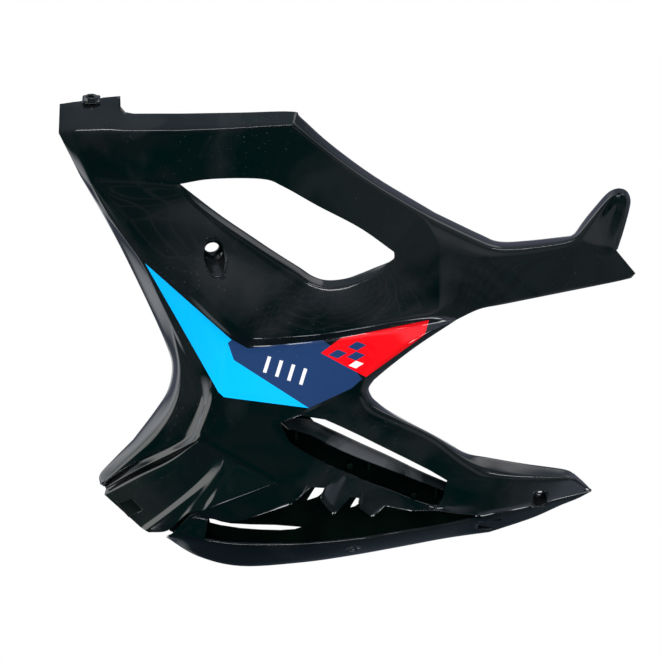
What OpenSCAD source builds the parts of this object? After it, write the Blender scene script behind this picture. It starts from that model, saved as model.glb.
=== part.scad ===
// Side panel of a motorcycle's lower fairing, outer face towards -Y.
// The origin is the centre of the side screw's hole, +X runs along the panel and +Z is up.
// The side view is drawn on a square grid: columns run right, rows run down, and depth is in mm,
// negative towards the viewer.

/* [Overall] */
// Length of the panel along X
panel_length = 636; // [560:1:700]
// Wall of the side panel
wall = 3; // [2.5:0.1:4]
// Wall of the front insert and the duct panel
inner_wall = 2.6; // [2:0.1:3.5]

/* [Side screw] */
// Diameter of the screw's clearance hole
screw_hole_d = 15.5; // [6:0.1:17]
// Diameter of the recess that the screw's head sits in
recess_d = 23; // [20:0.1:26]
// Wall round the recess
recess_wall = 2.5; // [2:0.1:3.5]

/* [Tail screw] */
// Diameter of the tail screw's clearance hole
tail_hole_d = 6.5; // [5:0.1:8]
// Diameter of the tail screw's recess
tail_recess_d = 15; // [12:0.1:18]
// Depth of the tail screw's recess
tail_recess_depth = 12; // [8:0.5:16]

/* [Top tab] */
// Diameter of the tab's hole
tab_hole_d = 8; // [5:0.1:9]
// Diameter of the raised ring round the tab's hole
tab_ring_d = 15; // [13:0.1:17]
// Height of the raised ring
tab_ring_h = 4; // [1:0.1:6]
// Width of the tab
tab_w = 20; // [18:0.5:24]

/* [Belly flange] */
// Diameter of the round hole in the belly flange
belly_hole_d = 12; // [8:0.1:13]
// Length of the clip slot in the belly flange
slot_l = 22; // [16:0.5:26]
// Width of the clip slot in the belly flange
slot_w = 14; // [10:0.5:16]

/* [Inner parts] */
// Gap between the mouldings where they meet
fit_gap = 0.3; // [0.2:0.05:0.6]
// Diameter of the pegs on the duct's floor
peg_d = 6; // [4:0.1:8]
// Side of the four-sided clip hole in the front insert
clip_hole = 15.5; // [12:0.5:17]

/* [Hidden] */

gloss_black = [0.04, 0.05, 0.06];
satin_black = [0.10, 0.10, 0.11];

// Drawing grid: the columns that the panel spans, and the screw hole's place
columns = 578;
square = panel_length / columns;
hole_column = 212;
hole_row = 248;

// Spans of a curve between two of its points, and rows of the wide faces
spans = 2;
face_rows = 12;

// Ways in which the wall lies behind the outer surface
behind = [0, 1, 0];
below = [0, 0.5, -0.87];
back_below = [0, 0.87, -0.5];
right_of = [0.87, 0.5, 0];
back_right = [0.5, 0.87, 0];
above = [0, 0.5, 0.87];
back_above = [0, 0.87, 0.5];
left_of = [-0.87, 0.5, 0];
back_left = [-0.5, 0.87, 0];
low_right = [0.5, 0.6, -0.6];

// A point of the drawing at a column, a row and a depth, with the way its wall lies
function at(column, row, depth, way = behind) =
    [(column - hole_column) * square, depth, (hole_row - row) * square, way.x, way.y, way.z];

function mix(a, b, t) = a + (b - a) * t;
function line(a, b, n) = [for (i = [0:n]) mix(a, b, i / n)];
function flip(p) = [for (i = [len(p) - 1:-1:0]) p[i]];
function cut(p, i, j) = [for (n = [i:j]) p[n]];
function last(p) = p[len(p) - 1];
function join(a, b) = concat(a, cut(b, 1, len(b) - 1));
function join3(a, b, c) = join(join(a, b), c);

// Straight runs through the points p, n spans in each
function zigzag(p, n) =
    [for (i = [0:len(p) - 2]) for (j = [0:n - 1]) mix(p[i], p[i + 1], j / n), last(p)];

// Catmull-Rom curve through the points p, n spans between two of them
function bend(a, b, c, d, t) =
    0.5 * (2 * b + (c - a) * t + (2 * a - 5 * b + 4 * c - d) * t * t + (3 * b - a - 3 * c + d) * t * t * t);
function curve(p, n = spans) = [
    for (i = [0:len(p) - 2])
        for (j = [0:n - 1])
            bend(i > 0 ? p[i - 1] : 2 * p[0] - p[1], p[i], p[i + 1],
                 i < len(p) - 2 ? p[i + 2] : 2 * p[i + 1] - p[i], j / n),
    last(p)];

// Corners where several faces meet
ridge_start = at(88, 178, -4, back_right);
left_start = at(80, 176, 12, right_of);
film_tip = at(145, 263, -10, back_right);
arm_root = at(431, 219, -2, back_below);
ridge_end = at(440, 314, -10);
arm_foot = at(458, 319, -4, back_above);
face_left = at(212, 395, -8, back_right);
face_top = at(262, 402, -15);
seam_start = at(197, 440, -6, back_right);
seam_end = at(276, 483, -6, back_above);
window_left = at(180, 184, 4, behind);
window_right_top = at(394, 252, 4, behind);
window_right_low = at(389, 262, 4, behind);
ear_crown = at(621, 194, 25, behind);
ear_right = at(617, 250, 17, behind);
notch_corner = at(368, 376, -9, back_left);
scoop_left = at(280, 423, -13);
scoop_right = at(447, 480.5, -4);
scoop_low = at(290, 442, -12);
scoop_mid = at(325, 463, -10);
gill_end = at(438, 511, 2);
belly_left = at(204, 541, 22, back_above);
tail_top = at(486, 475, -4, back_below);
tail_low = at(484, 517, 6, back_above);

// Top edge, from the left end over the step of the tab to the arm's end
top_left = [
    at(58.5, 103, 34, below), at(72, 101, 33, below), at(81, 100, 32, below), at(90, 99, 32, below),
    at(103, 96.5, 32, below), at(119.5, 95, 32, below), at(120, 106, 25, below), at(125, 111.5, 21, below),
    at(133, 113, 20, below), at(144, 113, 19, below), at(153, 113, 18, below), at(162, 113, 18, below),
    at(171, 113, 18, below), at(180, 113, 18, below)];
top_right = curve([
    at(180, 113, 18, below), at(240, 112, 18, below), at(292, 111, 18, below), at(301, 117, 18, below),
    at(330, 143, 18, below), at(375, 176, 20, below), at(435, 212, 24, below)]);
arm_top = curve([
    at(435, 212, 24, below), at(480, 233.5, 28, below), at(500, 241, 30, below), at(530, 240, 32, below),
    at(574, 235, 36, below)]);

// Fold under the top edge, where the face turns towards the viewer
fold_left = concat([at(58.5, 133, 4, back_below)],
                   line(at(72, 131, 0, back_below), at(180, 131, -6, back_below), face_rows));
fold_right = curve([
    at(180, 131, -6, back_below), at(240, 128, -7, back_below), at(287, 125, -7, back_below),
    at(296, 127, -7, back_below), at(326, 151, -6, back_below), at(371, 183, -4, back_below), arm_root]);
arm_fold = curve([
    arm_root, at(477, 241, 2, back_below), at(499, 248, 4, back_below), at(530, 247, 7, back_below),
    at(573, 241, 12, back_below)]);
arm_tip_fold = join(
    line(last(arm_fold), ear_right, 2 * spans),
    line(ear_right, at(636, 273.5, 20, behind), spans));
ear_fold = curve([
    last(arm_fold), at(592, 219, 18, back_below), at(603, 206, 21, back_below), at(610, 199, 23, back_below),
    at(615, 195.5, 24, behind), ear_crown, at(626, 196, 25, behind), at(628, 202, 25, behind),
    at(626, 212, 24, behind), at(621, 232, 20, behind), ear_right]);
ear_edge = curve([
    last(arm_top), at(586, 218.5, 40, low_right), at(598, 204, 42, low_right),
    at(606.5, 194.5, 42, low_right),
    at(613, 189.5, 42, low_right), at(621, 187.5, 42, below), at(628.5, 190.5, 40, below),
    at(632, 199, 38, left_of), at(630.5, 210, 36, left_of), at(624.5, 231, 28, left_of),
    at(618.5, 249, 22, left_of)]);

// Window
window_top = curve([
    window_left, at(212, 179, 4), at(262, 179, 4), at(284, 187, 4), at(318, 206, 4), at(360, 228, 4),
    window_right_top]);
window_end = curve([window_right_top, at(394, 258, 4), window_right_low]);
window_low = curve([
    window_left, at(198, 198, 12), at(215, 211, 13), at(232, 223, 13), at(250, 235, 13), at(267, 246.5, 13),
    at(284, 257.5, 13), at(300, 267.5, 13), at(313, 276, 13), at(327, 280, 13), at(345, 278.5, 13),
    at(360, 273.5, 13), at(376, 267, 12), window_right_low]);
window_rim = curve([
    window_left, at(192, 201, 0), at(210, 216, 0), at(227, 228.5, 0), at(245.5, 241, 0), at(262, 252.5, 0),
    at(279, 264, 0), at(296, 274.5, 0), at(310, 283, 0), at(327, 287, 0), at(347, 285, 0),
    at(363, 279.5, 0), at(380, 271, 1), window_right_low]);

// Shoulder ridge and its foot
step = join([left_start, ridge_start], line(ridge_start, window_left, face_rows));
ridge = curve([
    ridge_start, at(112, 206, -10), at(131, 229, -14), at(151, 252, -18), at(171, 272, -21),
    at(193, 293, -23), at(217, 318, -25), at(243, 337, -26), at(285, 336, -26), at(322, 334, -25),
    at(352, 329, -23), at(382, 324, -20), at(412, 319, -16), ridge_end]);
foot_left = curve([
    ridge_start, at(108, 212, -4, back_right), at(126, 238, -7, back_right), film_tip]);
foot_mid = curve([
    film_tip, at(165, 282, -11), at(190, 303, -13), at(215, 326, -15), at(240, 347, -16)]);
foot_right = curve([
    at(240, 347, -16), at(283, 346, -17), at(322, 341, -16), at(352, 336, -15), at(382, 331, -12),
    at(418, 325, -7), arm_foot]);

// Arm
arm_low = join(line(ridge_end, arm_foot, spans), curve([
    arm_foot, at(480, 309, 3, back_above), at(505, 304, 8, back_above), at(575, 290, 18, back_above)]));
arm_tip_low = curve([
    at(575, 290, 18, back_above), at(600, 285, 20, back_above), at(617, 281.5, 21, back_above),
    at(632, 278, 22, back_above)]);
arm_start = line(arm_root, ridge_end, 2 * spans);

// Left edge, the fold beside it and the face's own edge
left_edge = curve([
    left_start, at(91, 195, 16, right_of), at(105, 219, 20, right_of), at(122, 251, 26, right_of),
    at(148, 305, 36, right_of), at(165, 344, 42, right_of), at(171, 366, 44, right_of),
    at(167, 390, 46, right_of), at(154, 411, 48, right_of), at(132, 440, 50, right_of)]);
left_toe = curve([
    at(132, 440, 50, right_of), at(112, 460, 52, right_of), at(98.5, 475, 53, right_of),
    at(98.5, 485, 54, right_of)]);
left_fold = curve([
    ridge_start, at(100, 205, 0, back_right), at(118, 230, 0, back_right), at(140, 262, 1, back_right),
    at(163, 300, 5, back_right), at(175, 345, 9, back_right), at(178, 372, 10, back_right),
    at(173, 400, 13, back_right), at(159, 425, 19, back_right), at(140, 445, 27, back_right)]);
toe_fold = curve([
    at(140, 445, 27, back_right), at(120, 466, 34, back_right), at(106, 481, 40, back_right),
    at(102, 487, 44, back_right)]);
// Valley along the foot of the rolled left strip
valley = curve([
    ridge_start, at(107, 213, -3.5, back_right), at(124.5, 239, -6, back_right),
    at(142.5, 265, -7, back_right), at(163, 309, 1, back_right), at(184, 350, 5, back_right),
    at(197, 376, 5, back_right), at(203, 397, 5, back_right), at(197.5, 419, 5, back_right),
    at(191, 437, 5, behind)]);
toe_valley = curve([
    at(191, 437, 5, behind), at(165, 449.5, 19, behind), at(133, 464.5, 34, behind),
    at(103.5, 483, 49, behind)]);
film_edge = curve([
    film_tip, at(170, 308, -3, back_right), at(192, 348, 0, back_right), at(206, 374, -2, back_right),
    face_left]);
face_edge = curve([face_left, at(205, 418, -8, back_right), seam_start]);
toe_low = curve([
    seam_start, at(168, 455, 14, above), at(135, 471, 28, above), at(104, 489, 46, above)]);

// Lower border of the printed facet and the fold of the tail arm
facet_low = join3(line(face_left, face_top, spans), line(face_top, at(310, 408, -16), spans),
                  line(at(310, 408, -16), notch_corner, spans));
notch_fold = curve([
    notch_corner, at(386, 361, -6, back_left), at(415, 340, -2, back_above), arm_foot]);
notch_edge = curve([
    at(374, 380, 10, left_of), at(392, 365, 10, left_of), at(420, 344, 10, back_above), arm_foot]);
tail_fold = curve([
    notch_corner, at(363, 388, -9, back_left), at(366, 398, -9, back_left), at(372, 407, -9, back_below),
    at(390, 415, -8, back_below), at(432, 434, -6, back_below), at(458, 455, -5, back_below), tail_top]);
tail_end_fold = curve([
    tail_top, at(519, 477, -1, back_below), at(560, 477, 4, back_below), at(573, 477, 6, back_below)]);
tail_tip = curve([last(tail_end_fold), at(583, 485.5, 9, behind), at(592, 490.5, 13, behind)], spans / 2);
tail_tip_edge = curve([at(575, 474, 24, below), at(584, 482, 20, behind), last(tail_tip)], spans / 2);
tail_edge = curve([
    at(374, 380, 10, left_of), at(369, 388, 10, left_of), at(371, 395, 10, left_of),
    at(376, 401, 12, below), at(393, 413, 14, below), at(440, 438, 16, below), at(466, 453, 18, below),
    at(490, 458, 20, below)]);
tail_end_edge = curve([
    at(490, 458, 20, below), at(525, 464, 22, below), at(564, 469.5, 24, below), at(575, 474, 24, below)]);

// Scoop
scoop_top = join(line(scoop_left, at(300, 415.5, -13), spans), join3(
    curve([at(300, 415.5, -13), at(325, 419.5, -12)]),
    curve([at(325, 419.5, -12), at(338, 425.2, -11), at(350, 430.8, -10), at(362, 436.5, -9),
           at(380, 445.5, -8), at(410, 460.3, -6), at(430, 470.5, -5)]),
    line(at(430, 470.5, -5), scoop_right, spans)));
scoop_left_low = join(line(scoop_left, scoop_low, spans), curve([scoop_low, at(306, 453, -11), scoop_mid]));
scoop_bottom = curve([
    scoop_mid, at(330, 465.5, -10), at(335, 467.7, -9), at(341, 470.2, -9), at(345, 472, -9),
    at(350, 474, -8), at(357, 477, -8), at(362, 479.4, -7), at(367, 481.3, -7), at(376, 485, -6),
    at(390, 490, -5), at(412, 499, -3), at(437, 508, 0)]);

// Saw-tooth edge over the belly channel
seam = line(seam_start, seam_end, 2 * spans);
gill_points = [
    seam_end, at(292, 504, 0), at(306, 487, -5), at(325, 488, -6), at(320.5, 500, -2), at(333.5, 515.5, 4),
    at(350.5, 497, -3), at(362, 498.5, -3), at(359.5, 508, 0), at(372.5, 517.5, 3), at(385, 506, 0),
    at(411, 511, 1), gill_end];
gills = zigzag(gill_points, spans);

// Tail end, belly rail, wing and bracket
tail_start = line(tail_top, tail_low, 3 * spans);
scoop_end = join3(line(scoop_right, at(443, 497, -1), spans), line(at(443, 497, -1), at(437, 508, 0), spans),
                  line(at(437, 508, 0), gill_end, spans));
tail_low_fold = curve([
    tail_low, at(520, 511, 7, back_above), at(552, 502, 9, back_above), at(575, 496, 12, back_above),
    at(592, 491.5, 14, behind)]);
belly_fold = join(curve([
    tail_low, at(445, 526, 8, back_above), at(402, 533, 10, back_above), at(358, 540, 12, back_above),
    at(300, 545, 14, back_above), at(236, 545, 18, back_above), belly_left]),
    line(belly_left, at(168, 538, 30, back_above), spans));
bracket_top = at(190, 515.8, 18, back_above);
wing_top = line(seam_end, bracket_top, 3 * spans);
wing_low = curve([at(292, 504, 0), at(264, 513.5, 6), at(236, 521.5, 12), at(208, 519, 20)]);
tail_low_edge = curve([
    at(490, 533, 34, above), at(532, 519, 30, above), at(561, 506, 24, above), at(578, 499, 19, above),
    at(592, 491.6, 15, behind)]);
belly_edge = curve([
    at(490, 533, 34, above), at(448, 539, 38, above), at(400, 548, 41, above), at(350, 557, 44, above),
    at(300, 564, 46, above), at(240, 567.5, 48, above), at(197, 557.5, 48, above),
    at(165, 538.5, 48, above)]);

// Points of one ruled face between two curves. Its middle is pushed in by sag.
function grid(a, b, rows, sag) =
    let (n = len(a) - 1)
    [for (r = [0:rows]) [for (i = [0:n])
        mix(a[i], b[i], r / rows) + [0, sag * sin(180 * r / rows) * sin(180 * i / n), 0, 0, 0, 0]]];
function tidy(v) = [for (c = v) round(c * 10000) / 10000];
function outer(p) = tidy([p.x, p.y, p.z]);
function inner(p, t) =
    let (way = [p[3], p[4], p[5]])
    tidy([p.x, p.y, p.z] + way * t / norm(way));
function sum(v, i = 0) = i < len(v) ? v[i] + sum(v, i + 1) : 0;

// Area of a face as the viewer sees it, negative where its points run the other way round
function seen_area(g) =
    sum([for (r = [0:len(g) - 2]) sum([for (i = [0:len(g[0]) - 2])
        let (d = g[r + 1][i + 1] - g[r][i], e = g[r + 1][i] - g[r][i + 1]) d.x * e.z - d.z * e.x])]);
function quad(a, b, c, d) = [
    if (a != b && b != c && a != c) [a, b, c],
    if (a != d && c != d && a != c) [a, c, d]];

// Triangles of one face with its wall t behind it. The open sides, in the order first curve,
// second curve, start and end, are edges of the moulding and get an edge as wide as the wall.
function face(a, b, rows, open, sag, t) =
    let (
        g = grid(a, b, rows, sag),
        n = len(a) - 1,
        o = [for (row = g) [for (p = row) outer(p)]],
        q = [for (row = g) [for (p = row) inner(p, t)]],
        tris = [
            for (r = [0:rows - 1]) for (i = [0:n - 1]) each concat(
                quad(o[r][i], o[r][i + 1], o[r + 1][i + 1], o[r + 1][i]),
                quad(q[r][i], q[r + 1][i], q[r + 1][i + 1], q[r][i + 1])),
            for (i = [0:n - 1]) each concat(
                open[0] == 1 ? quad(o[0][i + 1], o[0][i], q[0][i], q[0][i + 1]) : [],
                open[1] == 1 ? quad(o[rows][i], o[rows][i + 1], q[rows][i + 1], q[rows][i]) : []),
            for (r = [0:rows - 1]) each concat(
                open[2] == 1 ? quad(o[r][0], o[r + 1][0], q[r + 1][0], q[r][0]) : [],
                open[3] == 1 ? quad(o[r + 1][n], o[r][n], q[r][n], q[r + 1][n]) : [])])
    seen_area(g) < 0 ? tris : [for (f = tris) [f[0], f[2], f[1]]];

// Closed moulding made of faces, each given as [curve, curve, rows, open sides, sag]
module moulding(faces, t) {
    tris = [for (f = faces) each face(f[0], f[1], f[2], f[3], f[4], t)];
    corners = [for (f = tris) each f];
    polyhedron(corners, [for (i = [0:len(tris) - 1]) [3 * i, 3 * i + 1, 3 * i + 2]]);
}

function head(p, n) = cut(p, 0, n);
function tail(p, n) = cut(p, n, len(p) - 1);

facet_border = join(facet_low, notch_fold);
face_border = join(tail(facet_low, spans), tail_fold);
arm_border = join(arm_fold, arm_tip_fold);
arm_under = join(arm_low, arm_tip_low);
foot = join3(foot_left, foot_mid, foot_right);
inner_edge = join3(foot_left, film_edge, face_edge);
tail_border = join(tail_end_fold, tail_tip);

top_faces = [
    [top_left, fold_left, 2, [1, 0, 1, 0], 0],
    [top_right, fold_right, 2, [1, 0, 0, 0], 0],
    [fold_left, step, face_rows, [0, 0, 1, 0], 0],
    [fold_right, window_top, face_rows, [0, 1, 0, 0], 0],
    [arm_start, window_end, face_rows, [0, 1, 0, 0], 0],
    [window_low, window_rim, 1, [1, 0, 0, 0], 0],
    [window_rim, ridge, face_rows, [0, 0, 0, 0], -3]];
arm_faces = [
    [arm_top, arm_fold, 2, [1, 0, 0, 0], 0],
    [head(arm_border, spans), head(arm_under, spans), 2 * spans, [0, 0, 0, 0], 0],
    [cut(arm_border, spans, 6 * spans), cut(arm_under, spans, 6 * spans), 2 * spans, [0, 1, 0, 0], 0],
    [tail(arm_border, 6 * spans), tail(arm_under, 6 * spans), 2 * spans, [1, 1, 0, 1], 0],
    [ear_edge, ear_fold, 2, [1, 0, 0, 1], 0],
    [flip(head(ear_fold, 5 * spans)), tail(ear_fold, 5 * spans), 2 * spans, [0, 0, 0, 0], 4]];
left_faces = [
    [ridge, foot, spans, [0, 0, 0, 0], 0],
    [left_edge, left_fold, 1, [1, 0, 0, 0], 0],
    [left_toe, toe_fold, 1, [1, 0, 0, 1], 0],
    [left_fold, valley, 2, [0, 0, 0, 0], 1],
    [valley, inner_edge, 1, [0, 0, 0, 0], 0],
    [toe_fold, toe_valley, 2, [0, 0, 0, 1], 0],
    [toe_valley, toe_low, 1, [0, 1, 0, 1], 0]];
middle_faces = [
    [foot_mid, film_edge, 2 * spans, [0, 0, 0, 0], 0],
    [foot_right, facet_border, 2 * spans, [0, 0, 0, 0], 0],
    [notch_fold, notch_edge, 1, [0, 1, 0, 0], 0],
    [head(face_edge, spans), line(face_top, scoop_left, spans), spans, [0, 0, 0, 0], 0],
    [tail(face_edge, spans), line(scoop_left, scoop_low, spans), spans, [0, 1, 0, 0], 0],
    [tail(scoop_left_low, spans), seam, spans, [1, 1, 0, 0], 0],
    [head(scoop_bottom, spans), head(gills, spans), spans, [1, 0, 0, 0], 0],
    [tail(scoop_bottom, spans), tail(gills, spans), spans, [1, 1, 0, 0], 0],
    [face_border, scoop_top, spans, [0, 1, 0, 0], 0]];
tail_faces = [
    [tail_edge, tail_fold, 1, [1, 0, 0, 0], 0],
    [tail_end_edge, tail_end_fold, 1, [1, 0, 0, 0], 0],
    [tail_tip_edge, tail_tip, 1, [1, 0, 0, 0], 0],
    [head(scoop_end, 2 * spans), head(tail_start, 2 * spans), spans, [1, 0, 0, 0], 0],
    [tail(scoop_end, 2 * spans), tail(tail_start, 2 * spans), spans, [0, 0, 0, 1], 0],
    [head(tail_border, 3 * spans), head(tail_low_fold, 3 * spans), 3 * spans, [0, 0, 0, 0], 0],
    [tail(tail_border, 3 * spans), tail(tail_low_fold, 3 * spans), 3 * spans, [0, 0, 0, 1], 0],
    [tail_low_fold, tail_low_edge, 2, [0, 1, 0, 1], 0],
    [head(belly_fold, 6 * spans), head(belly_edge, 6 * spans), 2, [1, 1, 0, 0], -4],
    [tail(belly_fold, 6 * spans), tail(belly_edge, 6 * spans), 2, [0, 1, 0, 1], 0],
    [wing_top, wing_low, spans, [1, 1, 0, 0], 0],
    [line(last(wing_top), last(wing_low), spans), line(last(belly_fold), belly_left, spans), 3,
     [0, 0, 1, 1], 0]];
panel_faces = concat(top_faces, arm_faces, left_faces, middle_faces, tail_faces);

// Turns a part along +Z so that it points out of the panel, tilted down and turned to the right
module pointing(tilt, turn = 0) {
    rotate([90 + tilt, 0, turn]) children();
}

// Everything behind a plane through the origin that faces the viewer, tilted up and turned right
half_space_size = 120;
module half_space(tilt, turn, size = half_space_size) {
    rotate([-tilt, 0, turn]) translate([-size / 2, 0, -size / 2]) cube(size);
}

// The axes of both screws lean down, so that their recesses open towards the rider's tool
screw_tilt = 42;
screw_turn = 15;
// Slope of the panel round the side screw, and how far its boss stays below the surface
face_tilt = 16;
face_turn = 9;
boss_cover = 1.2;
face_at_origin = -9.4;
recess_reach = 60;

module screw_boss() {
    intersection() {
        pointing(screw_tilt, screw_turn)
            translate([0, 0, -recess_wall])
                cylinder(d = recess_d + 2 * recess_wall, h = recess_reach, $fn = 96);
        translate([0, face_at_origin + boss_cover, 0]) half_space(face_tilt, face_turn);
    }
}

module screw_cut() {
    pointing(screw_tilt, screw_turn) {
        cylinder(d = recess_d, h = recess_reach, $fn = 96);
        translate([0, 0, -2 * recess_wall]) cylinder(d = screw_hole_d, h = recess_reach, $fn = 96);
    }
}

// Mouth of the tail screw's recess
tail_mouth = at(540, 500, 7);
tail_screw_tilt = 45;
tail_boss_wall = 2.5;

module at_tail_screw() {
    translate([tail_mouth.x, tail_mouth.y, tail_mouth.z])
        pointing(tail_screw_tilt) translate([0, 0, -tail_recess_depth]) children();
}

module tail_boss() {
    intersection() {
        at_tail_screw() translate([0, 0, -tail_boss_wall])
            cylinder(d = tail_recess_d + 2 * tail_boss_wall, h = recess_reach, $fn = 96);
        translate([tail_mouth.x, tail_mouth.y + 2 * boss_cover, tail_mouth.z]) half_space(0, 6);
    }
}

module tail_cut() {
    at_tail_screw() {
        cylinder(d = tail_recess_d, h = recess_reach, $fn = 96);
        translate([0, 0, -2 * tail_boss_wall]) cylinder(d = tail_hole_d, h = recess_reach, $fn = 96);
    }
}

// Tab on the top edge, which leans back with the top band
tab_seat = at(90.3, 98.5, 30);
tab_lean = 25;
tab_top = 13;
tab_foot = 8;
tab_corner = 3;

module on_tab() {
    translate([tab_seat.x, tab_seat.y, tab_seat.z]) rotate([tab_lean, 0, 0]) children();
}

module tab() {
    on_tab() {
        translate([0, 0, -wall]) linear_extrude(wall) {
            translate([-tab_w / 2, -tab_foot]) square([tab_w, tab_foot + tab_top - tab_corner]);
            translate([tab_corner - tab_w / 2, -tab_foot])
                square([tab_w - 2 * tab_corner, tab_foot + tab_top]);
            for (side = [-1, 1])
                translate([side * (tab_w / 2 - tab_corner), tab_top - tab_corner])
                    circle(r = tab_corner, $fn = 48);
        }
        translate([0, 0, -wall]) cylinder(d = tab_ring_d, h = wall + tab_ring_h, $fn = 96);
    }
}

module tab_cut() {
    on_tab() translate([0, 0, -3 * wall]) cylinder(d = tab_hole_d, h = 6 * wall + tab_ring_h, $fn = 96);
}

// Round hole and clip slot in the belly flange, square to its slope
flange_tilt = 60;
belly_hole_at = at(354.5, 550, 26.5);
slot_at = at(488.5, 526.5, 22);
slot_turn = 10;
// Both are blind: a pad behind the flange closes them
seat_depth = 1.5;
pad_wall = 2.5;
seat_reach = 15;

module at_belly_hole() {
    translate([belly_hole_at.x, belly_hole_at.y, belly_hole_at.z]) pointing(flange_tilt) children();
}

module at_slot() {
    translate([slot_at.x, slot_at.y, slot_at.z]) rotate([0, slot_turn, 0]) pointing(flange_tilt) children();
}

module block(w, d, low, high) {
    translate([-w / 2, -d / 2, low]) cube([w, d, high - low]);
}

module belly_pads() {
    at_belly_hole() translate([0, 0, -seat_depth - pad_wall])
        cylinder(d = belly_hole_d + 2 * pad_wall, h = seat_depth + pad_wall - wall / 2, $fn = 96);
    at_slot() block(slot_l + 2 * pad_wall, slot_w + 2 * pad_wall, -seat_depth - pad_wall, -wall / 2);
}

module belly_cuts() {
    at_belly_hole() translate([0, 0, -seat_depth]) cylinder(d = belly_hole_d, h = seat_reach, $fn = 96);
    at_slot() block(slot_l, slot_w, -seat_depth, seat_reach);
}

module side_panel() {
    color(gloss_black) difference() {
        union() {
            moulding(panel_faces, wall);
            screw_boss();
            tail_boss();
            tab();
            belly_pads();
        }
        screw_cut();
        tail_cut();
        tab_cut();
        belly_cuts();
    }
}

// Front insert: an upper facet, two rolled bands, a lower facet, and the tip between seam and wing
insert_start = at(103, 495.5, 46, back_above);
// Points on the insert's long edge, which runs along the seam with the fit gap between them
seam_across = [-0.48, 0, -0.88];
function beside_seam(t) =
    let (p = mix(seam_start, seam_end, t))
    concat([p.x, p.y, p.z] + fit_gap * seam_across, back_below);
wing_across = [-0.35, 0, 0.94];
function beside_wing(t) =
    let (p = mix(seam_end, bracket_top, t))
    concat([p.x, p.y, p.z] + fit_gap * wing_across, back_above);
insert_ridge_top = beside_seam(0.24);
insert_roll_top = beside_seam(0.36);
insert_turn = beside_wing(0.88);
insert_shoulder = beside_seam(0.46);
// The edge of the tip's facet, raised towards the viewer
edge_turn = insert_turn + [6.5 * square, -6.5, 2.5 * square, 0, 0, 0];
edge_top = beside_seam(0.53) + [0, -1.5, 0, 0, 0, 0];
// The tip keeps the fit gap to the seam and to the wing, which meet at a sharp angle
tip_reach = 2.4 * fit_gap;
insert_tip = concat([seam_end.x - tip_reach, seam_end.y, seam_end.z + 0.07 * tip_reach], back_above);
insert_top = join(curve([insert_start, at(137, 477.5, 30, back_below), at(170, 461, 16, back_below),
                         beside_seam(0.02)]),
                  line(beside_seam(0.02), insert_ridge_top, spans));
insert_ridge = join(curve([
    at(139, 528, 46, above), at(168, 506.5, 33), at(195.5, 483.5, 19), at(214, 461, 5)]),
    line(at(214, 461, 5), insert_ridge_top, spans));
insert_roll = join(curve([
    at(145, 532, 41, above), at(175, 509.5, 27), at(203.5, 485.5, 12), at(224, 461.5, -3)]),
    line(at(224, 461.5, -3), insert_roll_top, spans));
insert_bottom = join(curve([at(148, 533.5, 42, above), at(167, 531.5, 39, back_above),
                            at(185, 515.8, 24, back_above), insert_turn]),
                     line(insert_turn, insert_shoulder, spans));
// Flange that closes the gap behind the side panel's toe
insert_flange = curve([
    at(106, 484, 60, back_below), at(136, 463, 44, back_below), at(171, 447, 30, back_below),
    beside_seam(0.02)]);
insert_faces = [
    [insert_flange, head(insert_top, 3 * spans), 2, [1, 0, 1, 0], 0],
    [head(insert_top, 3 * spans), head(insert_ridge, 3 * spans), 4, [0, 0, 1, 0], -2],
    [tail(insert_top, 3 * spans), tail(insert_ridge, 3 * spans), 4, [1, 0, 0, 0], 0],
    [insert_ridge, insert_roll, 1, [0, 0, 1, 1], 0],
    [head(insert_roll, 3 * spans), head(insert_bottom, 3 * spans), 2, [0, 1, 1, 0], 0],
    [tail(insert_roll, 3 * spans), tail(insert_bottom, 3 * spans), 2, [0, 0, 0, 1], 0],
    [line(insert_turn, insert_shoulder, spans), line(edge_turn, edge_top, spans), 1, [0, 0, 1, 1], 0],
    [line(edge_turn, edge_top, spans), line(insert_tip, insert_tip, spans), spans, [0, 0, 1, 1], 0]];
clip_hole_at = at(129.3, 507.8, 42);
clip_pocket_depth = 12;
// Ways of the clip hole's sides as the viewer sees them
clip_sides = [[0.92, 0.31], [0.74, -0.8]];
clip_corners = [[-1, -1], [1, -1], [1, 1], [-1, 1]];

// Four-sided block behind the facet, from one depth to another
module clip_block(side, from, to) {
    translate([clip_hole_at.x, clip_hole_at.y, clip_hole_at.z]) rotate([90, 0, 0]) translate([0, 0, -to])
        linear_extrude(to - from)
            polygon([for (c = clip_corners) (c.x * clip_sides[0] + c.y * clip_sides[1]) * side / 2]);
}

module front_insert() {
    color(gloss_black) difference() {
        union() {
            moulding(insert_faces, inner_wall);
            clip_block(clip_hole + 2 * inner_wall, 0, clip_pocket_depth);
        }
        clip_block(clip_hole, -clip_pocket_depth, clip_pocket_depth - inner_wall);
    }
}

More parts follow.
